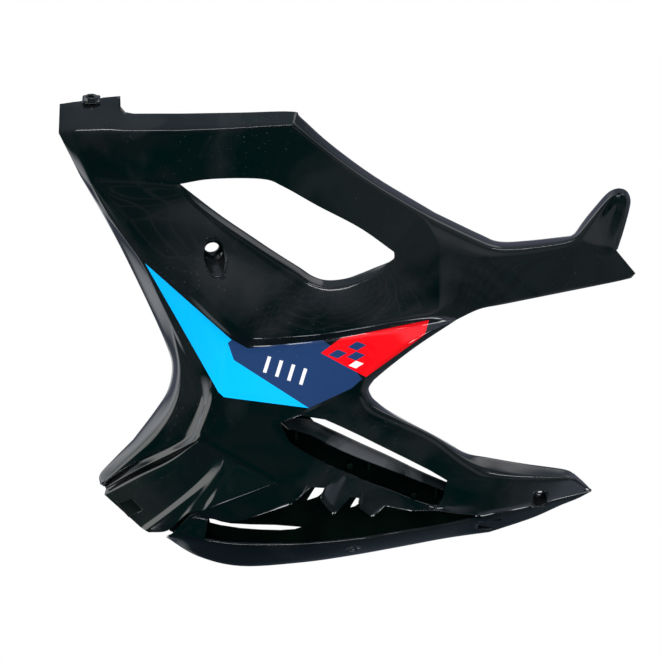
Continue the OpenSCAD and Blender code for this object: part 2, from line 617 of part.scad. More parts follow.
// Duct panel: the blade in the scoop, the floor behind it and the pegs between them
blade_back = curve([
    at(278, 420, 10, below), at(306, 419, 12, below), at(330, 428.5, 13, below), at(360, 442.5, 14, below),
    at(390, 456, 14, below), at(420, 470.5, 14, below), at(447, 482, 14, below)]);
blade_front = curve([
    at(288, 428, 4, below), at(310, 435, 3, below), at(330, 445, 2, below), at(352, 455, 2, below),
    at(378, 465, 3, below), at(405, 475, 4, below), at(441, 489, 6, below)]);
floor_top = curve([
    at(268, 414, 28), at(303, 413, 30), at(322, 431, 31), at(345, 445, 32), at(380, 459, 33),
    at(415, 474, 34), at(453, 489, 34)]);
floor_mid = curve([
    at(284, 498, 34), at(310, 504, 34.5), at(330, 507, 35), at(358, 509, 35), at(402, 511, 34),
    at(430, 513, 32), at(476, 514, 26)]);
floor_low = curve([
    at(304, 552.5, 34), at(317, 551, 33.5), at(330, 549.5, 33), at(358, 541.5, 32), at(402, 539.3, 31),
    at(430, 534.5, 30), at(476, 522, 26)]);
channel_top = curve([
    at(168, 512, 52), at(190, 511, 41), at(208, 510, 36), at(230, 510, 34), at(262, 507, 34),
    at(284, 498, 34)]);
channel_low = curve([
    at(168, 532, 54), at(188, 541, 46), at(208, 549, 41), at(236, 554, 36), at(270, 554, 35),
    at(304, 552.5, 34)]);
floor_faces = [
    [floor_top, floor_mid, 2, [1, 0, 1, 1], 0],
    [floor_mid, floor_low, 2, [0, 1, 0, 1], 0],
    [channel_top, channel_low, 2, [1, 1, 1, 0], 0]];

// Outlines of the openings in the floor: the long vent under the wing and one behind each tooth
front_vent = [
    [208.5, 519.3], [214, 520.3], [220, 522.3], [230, 524.3], [250, 525.3], [275, 525.8], [301, 527.8],
    [295, 529.8], [280, 530.8], [260, 530.3], [240, 528.8], [220, 525.8], [209.5, 523.3]];
tooth_vents = [
    [[316, 486.6], [326, 487.6], [323.5, 491.6], [320.5, 495.1], [317, 497.6], [311, 499.6], [307, 500.8]],
    [[357.3, 497.1], [363.5, 498.1], [362, 500.6], [359, 504.1], [354.5, 507.1], [350.5, 508.1],
     [353, 503.6], [355, 500.6]]];

// Block through the whole depth with an outline given in columns and rows
module through(outline, reach = 80) {
    rotate([90, 0, 0])
        linear_extrude(reach, center = true)
            polygon([for (p = outline) [(p.x - hole_column) * square, (hole_row - p.y) * square]]);
}
peg_places = [at(350, 466.5, -6), at(414, 496, -1), at(441, 503, 4.5)];
rib_columns = [297, 369, 436];
// The ribs hang between the blade's front edge and the floor, level with the point in its middle
rib_h = 11.5;
rib_drop = 7.5;
rib_front = blade_front[3 * spans].y;
rib_back = floor_top[3 * spans].y;
// A peg reaches from its tip through the floor behind it, and its root stands out past the floor
peg_root = 2;
peg_l = rib_back - peg_places[0].y + peg_root;
// Drop of the blade for each column along it
rib_fall = 0.46;

module duct_panel() {
    color(satin_black) difference() {
        union() {
            moulding(floor_faces, inner_wall);
            moulding([[blade_back, blade_front, 2, [1, 1, 1, 1], -2]], inner_wall);
            for (c = rib_columns)
                translate([(c - hole_column) * square, (rib_front + rib_back) / 2,
                           blade_front[0].z - rib_drop - rib_fall * (c - rib_columns[0])])
                    cube([inner_wall, rib_back - rib_front, rib_h], center = true);
            for (p = peg_places)
                translate([p.x, p.y, p.z]) rotate([-90, 0, 0]) cylinder(d = peg_d, h = peg_l, $fn = 64);
        }
        for (outline = concat([front_vent], tooth_vents))
            through(outline);
    }
}

side_panel();
front_insert();
duct_panel();
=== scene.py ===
"""Looks of a motorcycle's lower fairing side panel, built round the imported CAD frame.

The side view is drawn on a square grid of columns and rows with a depth in millimetres, as in the
CAD source. Named curves run along the folds and edges, ruled faces span them, the faces are welded
into one skin, the folds are rounded and the skin gets its wall.
"""

import logging
import math
from dataclasses import dataclass
from enum import Enum

import bpy
import numpy as np
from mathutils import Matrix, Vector
from mathutils.bvhtree import BVHTree


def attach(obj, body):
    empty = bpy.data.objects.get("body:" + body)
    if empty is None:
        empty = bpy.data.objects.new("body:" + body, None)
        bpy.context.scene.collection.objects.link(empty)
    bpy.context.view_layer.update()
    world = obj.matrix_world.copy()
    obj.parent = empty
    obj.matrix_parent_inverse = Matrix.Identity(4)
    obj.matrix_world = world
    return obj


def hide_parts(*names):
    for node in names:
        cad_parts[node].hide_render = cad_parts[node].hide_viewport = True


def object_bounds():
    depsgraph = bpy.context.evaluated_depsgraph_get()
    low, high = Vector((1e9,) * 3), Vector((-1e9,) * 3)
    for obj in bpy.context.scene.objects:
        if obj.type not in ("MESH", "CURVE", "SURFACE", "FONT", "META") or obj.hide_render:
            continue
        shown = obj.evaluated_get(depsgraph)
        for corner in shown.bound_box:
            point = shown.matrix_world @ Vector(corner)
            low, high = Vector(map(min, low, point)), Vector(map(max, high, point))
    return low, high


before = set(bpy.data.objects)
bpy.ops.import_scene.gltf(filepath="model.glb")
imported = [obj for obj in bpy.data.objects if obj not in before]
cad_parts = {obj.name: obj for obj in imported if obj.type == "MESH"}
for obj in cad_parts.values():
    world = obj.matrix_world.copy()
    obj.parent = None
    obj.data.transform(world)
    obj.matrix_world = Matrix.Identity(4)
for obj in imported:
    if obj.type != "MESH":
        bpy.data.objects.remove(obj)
log = logging.getLogger("side_panel")

CAD_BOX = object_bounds()
SPANS = 6
FACE_ROWS = 6 * SPANS
ROUND = 96
SMALL_ROUND = 64
PEG_ROUND = 48
MM = 1000
TINY = 1e-6
Array = np.ndarray
Piece = bpy.types.Object
Socket = bpy.types.NodeSocket


class Slot(Enum):
    """Material slots of the record."""
    GLOSS = "gloss_black"
    INSERT = "insert_black"
    SATIN = "satin_black"


@dataclass(frozen=True)
class DrawingGrid:
    """The square grid on which the side view is drawn."""
    length: float = 0.636
    columns: int = 578
    hole_column: float = 212.0
    hole_row: float = 248.0

    @property
    def square(self) -> float:
        """Side of one square in metres."""
        return self.length / self.columns

    def place(self, points: Array) -> Array:
        """Turns columns, rows and depths in millimetres into metres in the CAD frame.

        Args:
            points: array (..., 3) of column, row and depth.
        Returns:
            Array of the same shape with x, y and z.
        """
        p = np.asarray(points, float)
        return np.stack([(p[..., 0] - self.hole_column) * self.square, p[..., 2] / MM,
                         (self.hole_row - p[..., 1]) * self.square], -1)


GRID = DrawingGrid()


def pt(column: float, row: float, depth: float) -> Array:
    """One point of the drawing."""
    return np.array([column, row, depth], float)


FRAME_MIDDLE = pt(330, 330, 0)
SEAM_START, SEAM_END = pt(197, 440, -6), pt(276, 483, -6)


def line(a: Array, b: Array, n: int) -> Array:
    """Straight run from a to b with n spans: a + (b - a) t."""
    a, b = np.array(a, float), np.array(b, float)
    return a + (b - a) * np.linspace(0, 1, n + 1)[:, None]


def zigzag(points: list, n: int) -> Array:
    """Straight runs through the points, n spans in each."""
    p = np.array(points, float)
    t = np.linspace(0, 1, n, endpoint=False)[None, :, None]
    runs = p[:-1, None] + (p[1:] - p[:-1])[:, None] * t
    return np.vstack([runs.reshape(-1, 3), p[-1:]])


def bend(points: list, n: int = SPANS) -> Array:
    """Catmull-Rom curve through the points, n spans between two of them.

    Args:
        points: list of drawing points.
        n: spans between two points.
    Returns:
        Array (spans + 1, 3). Each span is the cubic whose slope at a point is half the way
        between its neighbours; the end slopes come from mirrored points.
    """
    p = np.array(points, float)
    e = np.vstack([2 * p[0] - p[1], p, 2 * p[-1] - p[-2]])
    a, b, c, d = (e[i:len(e) - 3 + i, None] for i in range(4))
    t = np.linspace(0, 1, n, endpoint=False)[None, :, None]
    q = 0.5 * (2 * b + (c - a) * t + (2 * a - 5 * b + 4 * c - d) * t ** 2
               + (3 * b - a - 3 * c + d) * t ** 3)
    return np.vstack([q.reshape(-1, 3), p[-1:]])


def join(*curves: Array) -> Array:
    """Curves laid end to end, with the shared end points kept once."""
    return np.vstack([curves[0]] + [c[1:] for c in curves[1:]])


def head(c: Array, n: int) -> Array:
    """The first n spans of a curve."""
    return c[:n + 1]


def tail(c: Array, n: int) -> Array:
    """The rest of a curve after its first n spans."""
    return c[n:]


@dataclass
class Face:
    """Ruled face between two curves of equal count, pushed in by sag at its middle."""
    first: Array
    second: Array
    rows: int
    sag: float = 0.0

    def points(self) -> Array:
        """Grid of points: first + (second - first) r, plus sag sin(pi r) sin(pi i) in depth."""
        if len(self.first) != len(self.second):
            raise ValueError(f"curves of {len(self.first)} and {len(self.second)} points")
        r = np.linspace(0, 1, self.rows + 1)[:, None, None]
        g = self.first[None] + (self.second - self.first)[None] * r
        i = np.linspace(0, 1, len(self.first))
        g[..., 2] += self.sag * np.sin(np.pi * r[..., 0]) * np.sin(np.pi * i)[None]
        return g


@dataclass
class Skin:
    """Welded skin: points in metres and faces of three or four corners."""
    points: Array
    quads: Array

    @classmethod
    def welded(cls, faces: list) -> "Skin":
        """Joins faces into one skin whose outer side faces the viewer.

        Args:
            faces: the Face objects.
        Returns:
            The skin. Corners closer than a ten-thousandth of a square become one.
        """
        points, quads, base = [], [], 0
        for f in faces:
            g = f.points()
            rows, n = g.shape[0] - 1, g.shape[1] - 1
            k = base + np.arange((rows + 1) * (n + 1)).reshape(rows + 1, n + 1)
            q = np.stack([k[:-1, :-1], k[:-1, 1:], k[1:, 1:], k[1:, :-1]], -1).reshape(-1, 4)
            d, e = g[1:, 1:] - g[:-1, :-1], g[1:, :-1] - g[:-1, 1:]
            if (d[..., 0] * e[..., 1] - d[..., 1] * e[..., 0]).sum() > 0:
                q = q[:, ::-1]
            points.append(g.reshape(-1, 3))
            quads.append(q)
            base += k.size
        flat, index = np.unique(np.round(np.vstack(points), 4), axis=0, return_inverse=True)
        return cls(GRID.place(flat), index.reshape(-1)[np.vstack(quads)])

    def soften(self, rounds: int, pull: float = 0.5) -> "Skin":
        """Rounds the folds: each point inside moves part of the way to its neighbours' mean.

        Args:
            rounds: how often it is done; more rounds give a wider rounding.
            pull: share of the way in one round.
        Returns:
            This skin.
        """
        q = self.quads
        e = np.vstack([q[:, [0, 1]], q[:, [1, 2]], q[:, [2, 3]], q[:, [3, 0]]])
        e = np.sort(e[e[:, 0] != e[:, 1]], axis=1)
        e, uses = np.unique(e, axis=0, return_counts=True)
        free = np.ones(len(self.points), bool)
        free[e[uses == 1]] = False
        for _ in range(rounds):
            total = np.zeros_like(self.points)
            count = np.zeros(len(self.points))
            for a, b in ((0, 1), (1, 0)):
                np.add.at(total, e[:, a], self.points[e[:, b]])
                np.add.at(count, e[:, a], 1)
            mean = total / np.maximum(count, 1)[:, None]
            self.points[free] += pull * (mean - self.points)[free]
        return self

    def corners(self) -> list:
        """Corner numbers of each face, without doubled corners and without faces of fewer than three."""
        faces = [list(dict.fromkeys(q)) for q in self.quads.tolist()]
        return [f for f in faces if len(f) > 2]

    def mesh(self, name: str) -> Piece:
        """Makes the smooth-shaded object of this skin at the origin."""
        return make_object(name, self.points, self.corners())


def new_object(name: str, data: bpy.types.ID) -> Piece:
    """Links a new object with the given data to the scene."""
    ob = bpy.data.objects.new(name, data)
    bpy.context.scene.collection.objects.link(ob)
    return ob


def make_object(name: str, points: Array, faces: list, smooth: bool = True) -> Piece:
    """Puts points and faces into a new object.

    Args:
        name: the piece's name.
        points: array (n, 3) in metres.
        faces: lists of corner numbers.
        smooth: whether the faces are shaded smooth.
    Returns:
        The object, at the origin.
    """
    me = bpy.data.meshes.new(name)
    me.from_pydata(np.asarray(points).tolist(), [], faces)
    me.update()
    me.polygons.foreach_set("use_smooth", np.full(len(me.polygons), smooth))
    return new_object(name, me)


def give_wall(ob: Piece, wall: float, edge: float = 0.0006, sharp: float = math.radians(62)) -> None:
    """Gives the skin its wall and a small rounding on its rims.

    Args:
        ob: the skin's object.
        wall: thickness in metres.
        edge: width of the rim's rounding in metres.
        sharp: least angle of an edge that is rounded.
    """
    s = ob.modifiers.new("wall", "SOLIDIFY")
    s.thickness, s.offset, s.use_even_offset = wall, -1.0, False
    b = ob.modifiers.new("rim", "BEVEL")
    b.width, b.segments, b.limit_method = edge, 2, "ANGLE"
    b.angle_limit, b.harden_normals = sharp, False
    settle(ob)


def settle(ob: Piece) -> Piece:
    """Applies an object's modifiers to its mesh."""
    deps = bpy.context.evaluated_depsgraph_get()
    deps.update()
    me = bpy.data.meshes.new_from_object(ob.evaluated_get(deps), depsgraph=deps)
    ob.modifiers.clear()
    ob.data = me
    return ob


def outward(ob: Piece) -> Piece:
    """Turns a closed mesh's faces outward if its signed volume, the sum of a . (b x c) / 6, is negative."""
    ob.data.calc_loop_triangles()
    corners = np.array([t.vertices[:] for t in ob.data.loop_triangles])
    points = np.array([v.co[:] for v in ob.data.vertices])
    a, b, c = (points[corners[:, k]] for k in range(3))
    if (a * np.cross(b, c)).sum() < 0:
        ob.data.flip_normals()
    return ob


def cut_away(ob: Piece, tool: Piece) -> None:
    """Cuts the tool's space out of the object and removes the tool."""
    outward(tool)
    m = ob.modifiers.new("cut", "BOOLEAN")
    m.operation, m.object, m.solver = "DIFFERENCE", tool, "EXACT"
    settle(ob)
    bpy.data.objects.remove(tool)


def axes_of(way: Array) -> Array:
    """Three unit vectors, the last along way and the first level."""
    w = way / np.linalg.norm(way)
    side = np.cross([0.0, 0.0, 1.0], w)
    size = np.linalg.norm(side)
    side = side / size if size > TINY else np.array([1.0, 0.0, 0.0])
    return np.stack([side, np.cross(w, side), w])


def circle(u: Array, v: Array, count: int) -> Array:
    """Unit circle in the plane of u and v: cos a u + sin a v for count angles a."""
    a = np.linspace(0, 2 * np.pi, count, endpoint=False)[:, None]
    return np.cos(a) * u + np.sin(a) * v


def revolve(name: str, centre: Array, way: Array, radii: Array, heights: Array,
            count: int = ROUND, closed: bool = False) -> Piece:
    """Surface of revolution: point = centre + r (cos a u + sin a v) + h w.

    Args:
        name: the piece's name.
        centre: point on the axis.
        way: direction of the axis, w; u and v are square to it.
        radii: radius of each profile point, or an array (profile, count).
        heights: height of each profile point, or an array (profile, count).
        count: points round the axis.
        closed: whether the profile's last point joins its first.
    Returns:
        The object. Unless closed, the profile's two ends are capped.
    """
    u, v, w = axes_of(np.asarray(way, float))
    r, h = (np.broadcast_to(np.asarray(x, float).reshape(len(x), -1), (len(x), count))
            for x in (radii, heights))
    p = centre + r[..., None] * circle(u, v, count) + h[..., None] * w
    k = np.arange(len(radii) * count).reshape(len(radii), count)
    if closed:
        k = np.vstack([k, k[:1]])
    turn = np.roll(k, -1, axis=1)
    q = np.stack([k[:-1], turn[:-1], turn[1:], k[1:]], -1).reshape(-1, 4).tolist()
    if not closed:
        q += [k[0, ::-1].tolist(), k[-1].tolist()]
    return make_object(name, p.reshape(-1, 3), q)


@dataclass
class ScrewRecess:
    """Slanted cup for a screw's head, with a hole in its floor and a rolled lip."""
    name: str
    centre: Array
    way: Array
    hole_d: float
    cup_d: float
    wall: float = 0.0025
    lip: float = 0.0012
    reach: float = 0.05
    overlap: float = 0.0001
    edge: float = 0.0008
    hole_edge: float = 0.0003
    back_edge: float = 0.001

    def mouth(self, skin: BVHTree, radius: float) -> Array:
        """Height of the panel's face above the cup's floor, all the way round.

        Args:
            skin: the panel's face as a search tree.
            radius: distance from the axis.
        Returns:
            Array of heights along the axis, with the mean of the others where a ray finds no face.
        """
        u, v, w = axes_of(self.way)
        starts = self.centre + self.reach * w + radius * circle(u, v, ROUND)
        hits = [skin.ray_cast(Vector(s), Vector(-w)) for s in starts]
        heights = np.array([self.reach - h[3] if h[0] is not None else np.nan for h in hits])
        return np.where(np.isnan(heights), np.nanmean(heights), heights)

    def build(self, shell: Piece, skin: BVHTree) -> Piece:
        """Cuts the cup's space from the shell and makes the cup.

        Args:
            shell: the panel with its wall.
            skin: the panel's face as a search tree.
        Returns:
            The cup's object.
        """
        r, hole_r, e = self.cup_d / 2, self.hole_d / 2, self.edge
        outer, back = r + self.lip, r + self.wall
        rim, inner = self.mouth(skin, outer), self.mouth(skin, r)
        cut_away(shell, revolve("cut", self.centre, self.way, [outer - self.overlap] * 2,
                                [-self.wall / 2, self.reach]))
        t = np.linspace(0, np.pi / 2, 6)[:, None]
        lip_r = outer - (outer - r) * np.sin(t) + np.zeros(ROUND)
        lip_h = rim + (inner - self.lip - rim) * (1 - np.cos(t))
        profile = ((r, e), (r - e * 0.3, e * 0.3), (r - e, 0), (hole_r + self.hole_edge, 0),
                   (hole_r, -self.hole_edge), (hole_r, -self.wall), (back - self.back_edge, -self.wall),
                   (back, -self.wall + self.back_edge), (back, rim - 2 * e), (outer, rim - 1.5 * e))
        radii, heights = ([np.broadcast_to(v[k], ROUND) for v in profile] for k in (0, 1))
        return revolve(self.name, self.centre, self.way, np.vstack([lip_r, *radii]),
                       np.vstack([lip_h, *heights]), closed=True)


def side_panel_faces() -> list:
    """Draws the side panel's named curves and spans the faces between them.

    Returns:
        The list of Face objects, which share their sides point by point.
    """
    n = SPANS
    # Points of the drawing, most of them shared by two or more curves
    ridge_start, left_start, film_tip = pt(88, 178, -4), pt(80, 176, 12), pt(145, 263, -10)
    arm_root, ridge_end, arm_foot = pt(431, 219, -2), pt(440, 314, -10), pt(458, 319, -4)
    face_left, face_top = pt(212, 395, -8), pt(262, 402, -15)
    window_left, window_right_top, window_right_low = pt(180, 184, 4), pt(394, 252, 4), pt(389, 262, 4)
    ear_crown, ear_right, notch_corner = pt(621, 194, 25), pt(617, 250, 17), pt(368, 376, -9)
    scoop_left, scoop_right, scoop_low = pt(280, 423, -13), pt(447, 480.5, -4), pt(290, 442, -12)
    scoop_mid, gill_end, belly_left = pt(325, 463, -10), pt(438, 511, 2), pt(204, 541, 22)
    tail_top, tail_low = pt(486, 475, -4), pt(484, 517, 6)
    top_mid, fold_mid, tab_fold = pt(180, 113, 18), pt(180, 131, -6), pt(72, 131, 0)
    arm_top_start, notch_rim, tail_rim = pt(435, 212, 24), pt(374, 380, 10), pt(490, 458, 20)
    tail_rim_end, tail_point, belly_rim = pt(575, 474, 24), pt(592, 490.5, 13), pt(490, 533, 34)
    toe_edge_start, toe_fold_start, toe_valley_start = pt(132, 440, 50), pt(140, 445, 27), pt(191, 437, 5)
    foot_low, film_low, scoop_bend = pt(240, 347, -16), pt(310, 408, -16), pt(325, 419.5, -12)
    scoop_corner, scoop_tip, scoop_end_mid = pt(300, 415.5, -13), pt(430, 470.5, -5), pt(443, 497, -1)
    scoop_end_low, arm_low_end, wing_foot = pt(437, 508, 0), pt(575, 290, 18), pt(292, 504, 0)

    # Curves along the folds and edges
    top_left = zigzag([
        (58.5, 103, 34), (72, 101, 33), (81, 100, 32), (90, 99, 32), (103, 96.5, 32), (119.5, 95, 32),
        (120, 106, 25), (125, 111.5, 21), (133, 113, 20), (144, 113, 19), (153, 113, 18), (162, 113, 18),
        (171, 113, 18), top_mid], n // 2)
    top_right = bend([
        top_mid, (240, 112, 18), (292, 111, 18), (301, 117, 18), (330, 143, 18), (375, 176, 20),
        arm_top_start])
    arm_top = bend([arm_top_start, (480, 233.5, 28), (500, 241, 30), (530, 240, 32), (574, 235, 36)])
    fold_left = join(line((58.5, 133, 4), tab_fold, n // 2), line(tab_fold, fold_mid, FACE_ROWS))
    fold_right = bend([
        fold_mid, (240, 128, -7), (287, 125, -7), (296, 127, -7), (326, 151, -6), (371, 183, -4), arm_root])
    arm_fold = bend([arm_root, (477, 241, 2), (499, 248, 4), (530, 247, 7), (573, 241, 12)])
    arm_tip_fold = join(line(arm_fold[-1], ear_right, 2 * n), line(ear_right, (636, 273.5, 20), n))
    ear_fold = bend([
        arm_fold[-1], (592, 219, 18), (603, 206, 21), (610, 199, 23), (615, 195.5, 24), ear_crown,
        (626, 196, 25), (628, 202, 25), (626, 212, 24), (621, 232, 20), ear_right])
    ear_edge = bend([
        arm_top[-1], (586, 218.5, 40), (598, 204, 42), (606.5, 194.5, 42), (613, 189.5, 42), (621, 187.5, 42),
        (628.5, 190.5, 40), (632, 199, 38), (630.5, 210, 36), (624.5, 231, 28), (618.5, 249, 22)])
    window_top = bend([
        window_left, (212, 179, 4), (262, 179, 4), (284, 187, 4), (318, 206, 4), (360, 228, 4),
        window_right_top])
    window_end = bend([window_right_top, (394, 258, 4), window_right_low])
    window_low = bend([
        window_left, (198, 198, 12), (215, 211, 13), (232, 223, 13), (250, 235, 13), (267, 246.5, 13),
        (284, 257.5, 13), (300, 267.5, 13), (313, 276, 13), (327, 280, 13), (345, 278.5, 13),
        (360, 273.5, 13), (376, 267, 12), window_right_low])
    window_rim = bend([
        window_left, (192, 201, 0), (210, 216, 0), (227, 228.5, 0), (245.5, 241, 0), (262, 252.5, 0),
        (279, 264, 0), (296, 274.5, 0), (310, 283, 0), (327, 287, 0), (347, 285, 0), (363, 279.5, 0),
        (380, 271, 1), window_right_low])
    step = join(line(left_start, ridge_start, n // 2), line(ridge_start, window_left, FACE_ROWS))
    ridge = bend([
        ridge_start, (112, 206, -10), (131, 229, -14), (151, 252, -18), (171, 272, -21), (193, 293, -23),
        (217, 318, -25), (243, 337, -26), (285, 336, -26), (322, 334, -25), (352, 329, -23), (382, 324, -20),
        (412, 319, -16), ridge_end])
    foot_left = bend([ridge_start, (108, 212, -4), (126, 238, -7), film_tip])
    foot_mid = bend([film_tip, (165, 282, -11), (190, 303, -13), (215, 326, -15), foot_low])
    foot_right = bend([
        foot_low, (283, 346, -17), (322, 341, -16), (352, 336, -15), (382, 331, -12), (418, 325, -7),
        arm_foot])
    arm_low = join(line(ridge_end, arm_foot, n), bend([arm_foot, (480, 309, 3), (505, 304, 8), arm_low_end]))
    arm_tip_low = bend([arm_low_end, (600, 285, 20), (617, 281.5, 21), (632, 278, 22)])
    arm_start = line(arm_root, ridge_end, 2 * n)
    left_edge = bend([
        left_start, (91, 195, 16), (105, 219, 20), (122, 251, 26), (148, 305, 36), (165, 344, 42),
        (171, 366, 44), (167, 390, 46), (154, 411, 48), toe_edge_start])
    left_toe = bend([toe_edge_start, (112, 460, 52), (98.5, 475, 53), (98.5, 485, 54)])
    left_fold = bend([
        ridge_start, (100, 205, 0), (118, 230, 0), (140, 262, 1), (163, 300, 5), (175, 345, 9),
        (178, 372, 10), (173, 400, 13), (159, 425, 19), toe_fold_start])
    toe_fold = bend([toe_fold_start, (120, 466, 34), (106, 481, 40), (102, 487, 44)])
    valley = bend([
        ridge_start, (107, 213, -3.5), (124.5, 239, -6), (142.5, 265, -7), (163, 309, 1), (184, 350, 5),
        (197, 376, 5), (203, 397, 5), (197.5, 419, 5), toe_valley_start])
    toe_valley = bend([toe_valley_start, (165, 449.5, 19), (133, 464.5, 34), (103.5, 483, 49)])
    film_edge = bend([film_tip, (170, 308, -3), (192, 348, 0), (206, 374, -2), face_left])
    face_edge = bend([face_left, (205, 418, -8), SEAM_START])
    toe_low = bend([SEAM_START, (168, 455, 14), (135, 471, 28), (104, 489, 46)])
    facet_low = join(
        line(face_left, face_top, n), line(face_top, film_low, n), line(film_low, notch_corner, n))
    notch_fold = bend([notch_corner, (386, 361, -6), (415, 340, -2), arm_foot])
    notch_edge = bend([notch_rim, (392, 365, 10), (420, 344, 10), arm_foot])
    tail_fold = bend([
        notch_corner, (363, 388, -9), (366, 398, -9), (372, 407, -9), (390, 415, -8), (432, 434, -6),
        (458, 455, -5), tail_top])
    tail_end_fold = bend([tail_top, (519, 477, -1), (560, 477, 4), (573, 477, 6)])
    tail_tip = bend([tail_end_fold[-1], (583, 485.5, 9), tail_point], n // 2)
    tail_tip_edge = bend([tail_rim_end, (584, 482, 20), tail_point], n // 2)
    tail_edge = bend([
        notch_rim, (369, 388, 10), (371, 395, 10), (376, 401, 12), (393, 413, 14), (440, 438, 16),
        (466, 453, 18), tail_rim])
    tail_end_edge = bend([tail_rim, (525, 464, 22), (564, 469.5, 24), tail_rim_end])
    scoop_top = join(
        line(scoop_left, scoop_corner, n), bend([scoop_corner, scoop_bend]),
        bend([
            scoop_bend, (338, 425.2, -11), (350, 430.8, -10), (362, 436.5, -9), (380, 445.5, -8),
            (410, 460.3, -6), scoop_tip]),
        line(scoop_tip, scoop_right, n))
    scoop_left_low = join(line(scoop_left, scoop_low, n), bend([scoop_low, (306, 453, -11), scoop_mid]))
    scoop_bottom = bend([
        scoop_mid, (330, 465.5, -10), (335, 467.7, -9), (341, 470.2, -9), (345, 472, -9), (350, 474, -8),
        (357, 477, -8), (362, 479.4, -7), (367, 481.3, -7), (376, 485, -6), (390, 490, -5), (412, 499, -3),
        scoop_end_low])
    seam = line(SEAM_START, SEAM_END, 2 * n)
    gills = zigzag([
        SEAM_END, wing_foot, (306, 487, -5), (325, 488, -6), (320.5, 500, -2), (333.5, 515.5, 4),
        (350.5, 497, -3), (362, 498.5, -3), (359.5, 508, 0), (372.5, 517.5, 3), (385, 506, 0), (411, 511, 1),
        gill_end], n)
    tail_start = line(tail_top, tail_low, 3 * n)
    scoop_end = join(
        line(scoop_right, scoop_end_mid, n), line(scoop_end_mid, scoop_end_low, n),
        line(scoop_end_low, gill_end, n))
    tail_low_fold = bend([tail_low, (520, 511, 7), (552, 502, 9), (575, 496, 12), (592, 491.5, 14)])
    belly_fold = join(
        bend([
            tail_low, (445, 526, 8), (402, 533, 10), (358, 540, 12), (300, 545, 14), (236, 545, 18),
            belly_left]),
        line(belly_left, (168, 538, 30), n))
    wing_top = line(SEAM_END, (190, 515.8, 18), 3 * n)
    wing_low = bend([wing_foot, (264, 513.5, 6), (236, 521.5, 12), (208, 519, 20)])
    tail_low_edge = bend([belly_rim, (532, 519, 30), (561, 506, 24), (578, 499, 19), (592, 491.6, 15)])
    belly_edge = bend([
        belly_rim, (448, 539, 38), (400, 548, 41), (350, 557, 44), (300, 564, 46), (240, 567.5, 48),
        (197, 557.5, 48), (165, 538.5, 48)])

    # Curves laid end to end where a face runs along more than one, and the flap's two sides
    facet_border, face_border = join(facet_low, notch_fold), join(tail(facet_low, n), tail_fold)
    arm_border, arm_under = join(arm_fold, arm_tip_fold), join(arm_low, arm_tip_low)
    foot, inner_edge = join(foot_left, foot_mid, foot_right), join(foot_left, film_edge, face_edge)
    tail_border = join(tail_end_fold, tail_tip)
    flap = line(wing_top[-1], wing_low[-1], n), line(belly_fold[-1], belly_left, n)
    return [
        Face(top_left, zigzag(fold_left[::n // 2], n // 2), n),
        Face(top_right, fold_right, n),
        Face(fold_left, step, FACE_ROWS),
        Face(fold_right, window_top, FACE_ROWS),
        Face(arm_start, window_end, FACE_ROWS),
        Face(window_low, window_rim, n // 2),
        Face(window_rim, ridge, FACE_ROWS, -3),
        Face(arm_top, arm_fold, n),
        Face(head(arm_border, n), head(arm_under, n), 2 * n),
        Face(arm_border[n:6 * n + 1], arm_under[n:6 * n + 1], 2 * n),
        Face(tail(arm_border, 6 * n), tail(arm_under, 6 * n), 2 * n),
        Face(ear_edge, ear_fold, n),
        Face(head(ear_fold, 5 * n)[::-1], tail(ear_fold, 5 * n), 2 * n, 4),
        Face(ridge, foot, n),
        Face(left_edge, left_fold, n // 2),
        Face(left_toe, toe_fold, n // 2),
        Face(left_fold, valley, 2 * n, 1),
        Face(valley, inner_edge, n),
        Face(toe_fold, toe_valley, 2 * n),
        Face(toe_valley, toe_low, n),
        Face(foot_mid, film_edge, 2 * n),
        Face(foot_right, facet_border, 2 * n),
        Face(notch_fold, notch_edge, n),
        Face(head(face_edge, n), line(face_top, scoop_left, n), n),
        Face(tail(face_edge, n), line(scoop_left, scoop_low, n), n),
        Face(tail(scoop_left_low, n), seam, n),
        Face(head(scoop_bottom, n), head(gills, n), n),
        Face(tail(scoop_bottom, n), tail(gills, n), n),
        Face(face_border, scoop_top, n),
        Face(tail_edge, tail_fold, n),
        Face(tail_end_edge, tail_end_fold, n),
        Face(tail_tip_edge, tail_tip, n),
        Face(head(scoop_end, 2 * n), head(tail_start, 2 * n), n),
        Face(tail(scoop_end, 2 * n), tail(tail_start, 2 * n), n),
        Face(head(tail_border, 3 * n), head(tail_low_fold, 3 * n), 3 * n),
        Face(tail(tail_border, 3 * n), tail(tail_low_fold, 3 * n), 3 * n),
        Face(tail_low_fold, tail_low_edge, n),
        Face(head(belly_fold, 6 * n), head(belly_edge, 6 * n), n, -4),
        Face(tail(belly_fold, 6 * n), tail(belly_edge, 6 * n), n),
        Face(wing_top, wing_low, n),
        Face(flap[0], flap[1], 2 * n)]


